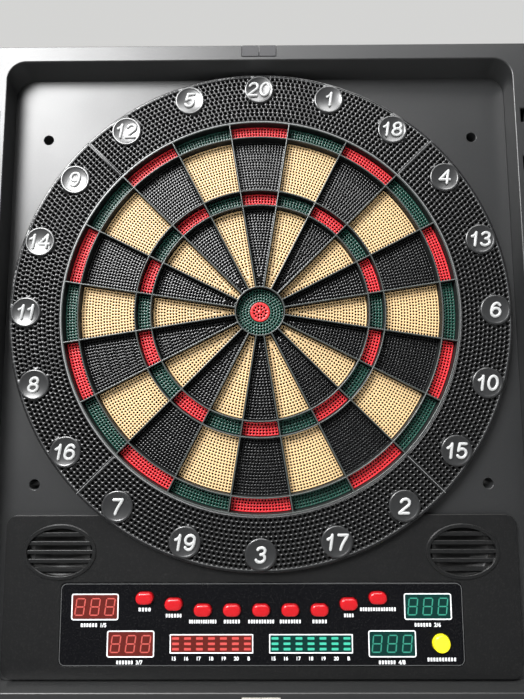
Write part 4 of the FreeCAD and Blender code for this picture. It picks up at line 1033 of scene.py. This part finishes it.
def segment_bars():
    """Seven leaning bars of a digit, as corner lists about its middle."""
    w, h, t = DIGIT_W / 2, DIGIT_H / 2, BAR_W / 2
    gap = 0.25 * MM
    across = [(-w + gap, 0), (-w + t + gap, t), (w - t - gap, t),
              (w - gap, 0), (w - t - gap, -t), (-w + t + gap, -t)]
    upright = [(0, gap), (t, t + gap), (t, h - t - gap), (0, h - gap), (-t, h - t - gap), (-t, t + gap)]
    bars = [[(x, y + rise) for x, y in across] for rise in (h, 0, -h)]
    for side in (-w, w):
        bars.append([(x + side, y) for x, y in upright])
        bars.append([(x + side, y - h) for x, y in upright])
    return [[(x + SLANT * y, y) for x, y in bar] for bar in bars]


def digit_meshes(x, z, y):
    for place in (-1, 0, 1):
        for bar in segment_bars():
            yield bar_mesh(bar, PRINT_T), (x + place * DIGIT_PITCH, y, z)


def light_bar_meshes(x, z, y):
    """Seven columns of three light bars."""
    w, h = 5.6 * MM, 1.9 * MM
    for column in range(7):
        for row in range(3):
            place = (x + (column - 3) * 9.8 * MM, y, z + (row - 1) * 4.15 * MM)
            yield bar_mesh(rounded_loop(w, h, 0.4 * MM, 2), PRINT_T), place


def caption(text, height, x, z):
    return text_mesh(text, height, 0.03 * MM), (x, PRINT_Y + 0.03 * MM, z)


def label_blocks(letters, width, x, z, height=2.8 * MM):
    """Row of plain blocks where the real panel has a word."""
    pitch = width / letters
    for k in range(letters):
        place = (x + (k - (letters - 1) / 2) * pitch, PRINT_Y + 0.06 * MM, z)
        yield bar_mesh(rounded_loop(pitch * 0.62, height, 0.2 * MM, 2), PRINT_T), place


# (blocks, width) under each red button
BUTTON_LABELS = ((4, 10.8), (6, 13.7), (12, 23.0), (6, 14.0), (10, 22.0), (8, 18.0), (5, 12.6), (4, 8.4),
                 (14, 30.0))


def make_panel_print():
    centre = (FASCIA_LOW + FASCIA_HIGH) / 2
    lens_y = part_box("lenses_red")[0].y
    front = PRINT_Y + 0.08 * MM
    white, grey, black, red, green, red_bars, green_bars = [], [], [], [], [], [], []
    w, h = FASCIA_HIGH.x - FASCIA_LOW.x, FASCIA_HIGH.z - FASCIA_LOW.z
    inset = 1.2 * MM
    outline = frame_mesh(w - inset, h - inset, 4.6 * MM, 0.5 * MM, 0.06 * MM)
    grey.append((outline, (centre.x, front, centre.z)))
    base = FASCIA_LOW.z
    for x, z, side, text in ((-137.0, 46.5, -1, "1/5"), (137.0, 46.5, 1, "2/6"),
                             (-107.0, 17.5, -1, "3/7"), (107.0, 17.5, 1, "4/8")):
        x, z = x * MM, base + z * MM
        white.append((frame_mesh(*SCORE_FRAME), (x, front, z)))
        black.append((frame_mesh(*SCORE_SURROUND), (x, front, z)))
        (red if side < 0 else green).extend(digit_meshes(x, z, lens_y))
        below = z - 14.3 * MM
        white.extend(label_blocks(6, 14.2 * MM, x - 4.6 * MM, below))
        white.append(caption(text, 3.3 * MM, x + 7.4 * MM, below))
    for side in (-1, 1):
        x, z = side * 40.7 * MM, base + 17.6 * MM
        white.append((frame_mesh(*BARS_FRAME), (x, front, z)))
        black.append((frame_mesh(*BARS_SURROUND), (x, front, z)))
        (red_bars if side < 0 else green_bars).extend(light_bar_meshes(x, z, lens_y))
        for column, text in enumerate(("15", "16", "17", "18", "19", "20", "B")):
            white.append(caption(text, 3.0 * MM, x + (column - 3) * 10.2 * MM, z - 11.4 * MM))
    for number, (letters, width) in enumerate(BUTTON_LABELS, 1):
        low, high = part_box("button_red_%d" % number)
        white.extend(label_blocks(letters, width * MM, (low.x + high.x) / 2, (low.z + high.z) / 2 - 9.2 * MM))
    low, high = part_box("button_start")
    white.extend(label_blocks(10, 24 * MM, (low.x + high.x) / 2, (low.z + high.z) / 2 - 12.6 * MM))
    for name, meshes, material, slot in (("panel_print_white", white, PRINT, "fascia_black"),
                                         ("panel_outline", grey, TRIM_LINE, "fascia_black"),
                                         ("window_surrounds", black, FASCIA, "fascia_black"),
                                         ("score_digits_red", red, DIGIT_RED, "lens_red"),
                                         ("score_digits_green", green, DIGIT_GREEN, "lens_green"),
                                         ("light_bars_red", red_bars, BARS_RED, "lens_red"),
                                         ("light_bars_green", green_bars, BARS_GREEN, "lens_green")):
        finish_piece(joined(name, meshes, material), "cabinet", slot)


make_panel_print()


# ---------------- studio
def area_light(name, place, aim, width, height, watts, spread):
    data = bpy.data.lights.new(name, "AREA")
    data.shape = "RECTANGLE"
    data.size = width
    data.size_y = height
    data.energy = watts
    data.spread = math.radians(spread)
    lamp = bpy.data.objects.new(name, data)
    lamp.location = place
    lamp.rotation_euler = (Vector(aim) - Vector(place)).to_track_quat("-Z", "Y").to_euler()
    bpy.context.scene.collection.objects.link(lamp)


def make_studio():
    bm = bmesh.new()
    bmesh.ops.create_grid(bm, x_segments=1, y_segments=1, size=4.0)
    bmesh.ops.translate(bm, verts=bm.verts, vec=(0, 0, FLOOR_Z - 1 * MM))
    floor = mesh_object("studio_floor", bm)
    bpy.context.scene.collection.objects.link(floor)
    floor.data.materials.append(plastic("floor_paper", (0.72, 0.72, 0.71), 0.8, grain=0.0, dust=0.0))
    floor.visible_glossy = False
    floor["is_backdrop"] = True

    area_light("sheen_panel", (-0.95, -1.5, 1.15), (-0.02, 0, -0.06), 1.1, 0.9, 24, 75)
    area_light("top_panel", (0.35, -1.2, 2.1), (0, 0, -0.1), 1.6, 1.0, 7, 60)
    world = bpy.data.worlds.new("studio")
    bpy.context.scene.world = world
    world.use_nodes = True
    tree = world.node_tree
    background = tree.nodes["Background"]
    background.inputs["Strength"].default_value = 1.0
    way = add(tree, "ShaderNodeSeparateXYZ", {0: add(tree, "ShaderNodeTexCoord").outputs["Generated"]})
    toward = add(tree, "ShaderNodeMapRange", {0: way.outputs["Y"], 1: -0.75, 2: 0.35})
    tones = {"A": (0.13, 0.13, 0.135, 1), "B": (0.66, 0.66, 0.65, 1)}
    ramp = add(tree, "ShaderNodeMix", {"Factor": toward, **tones}, data_type="RGBA")
    above = add(tree, "ShaderNodeMapRange", {0: way.outputs["Z"], 1: 0.72, 2: 0.98, 4: 1.3})
    sky = add(tree, "ShaderNodeVectorMath", {0: ramp.outputs["Result"], 1: above}, operation="ADD")
    plug(tree, background.inputs["Color"], sky)


make_studio()
bpy.context.scene.view_settings.view_transform = "Standard"

seen_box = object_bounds()
for low, high in (cad_box, seen_box):
    json.dumps([list(low), list(high)]) + "\n"
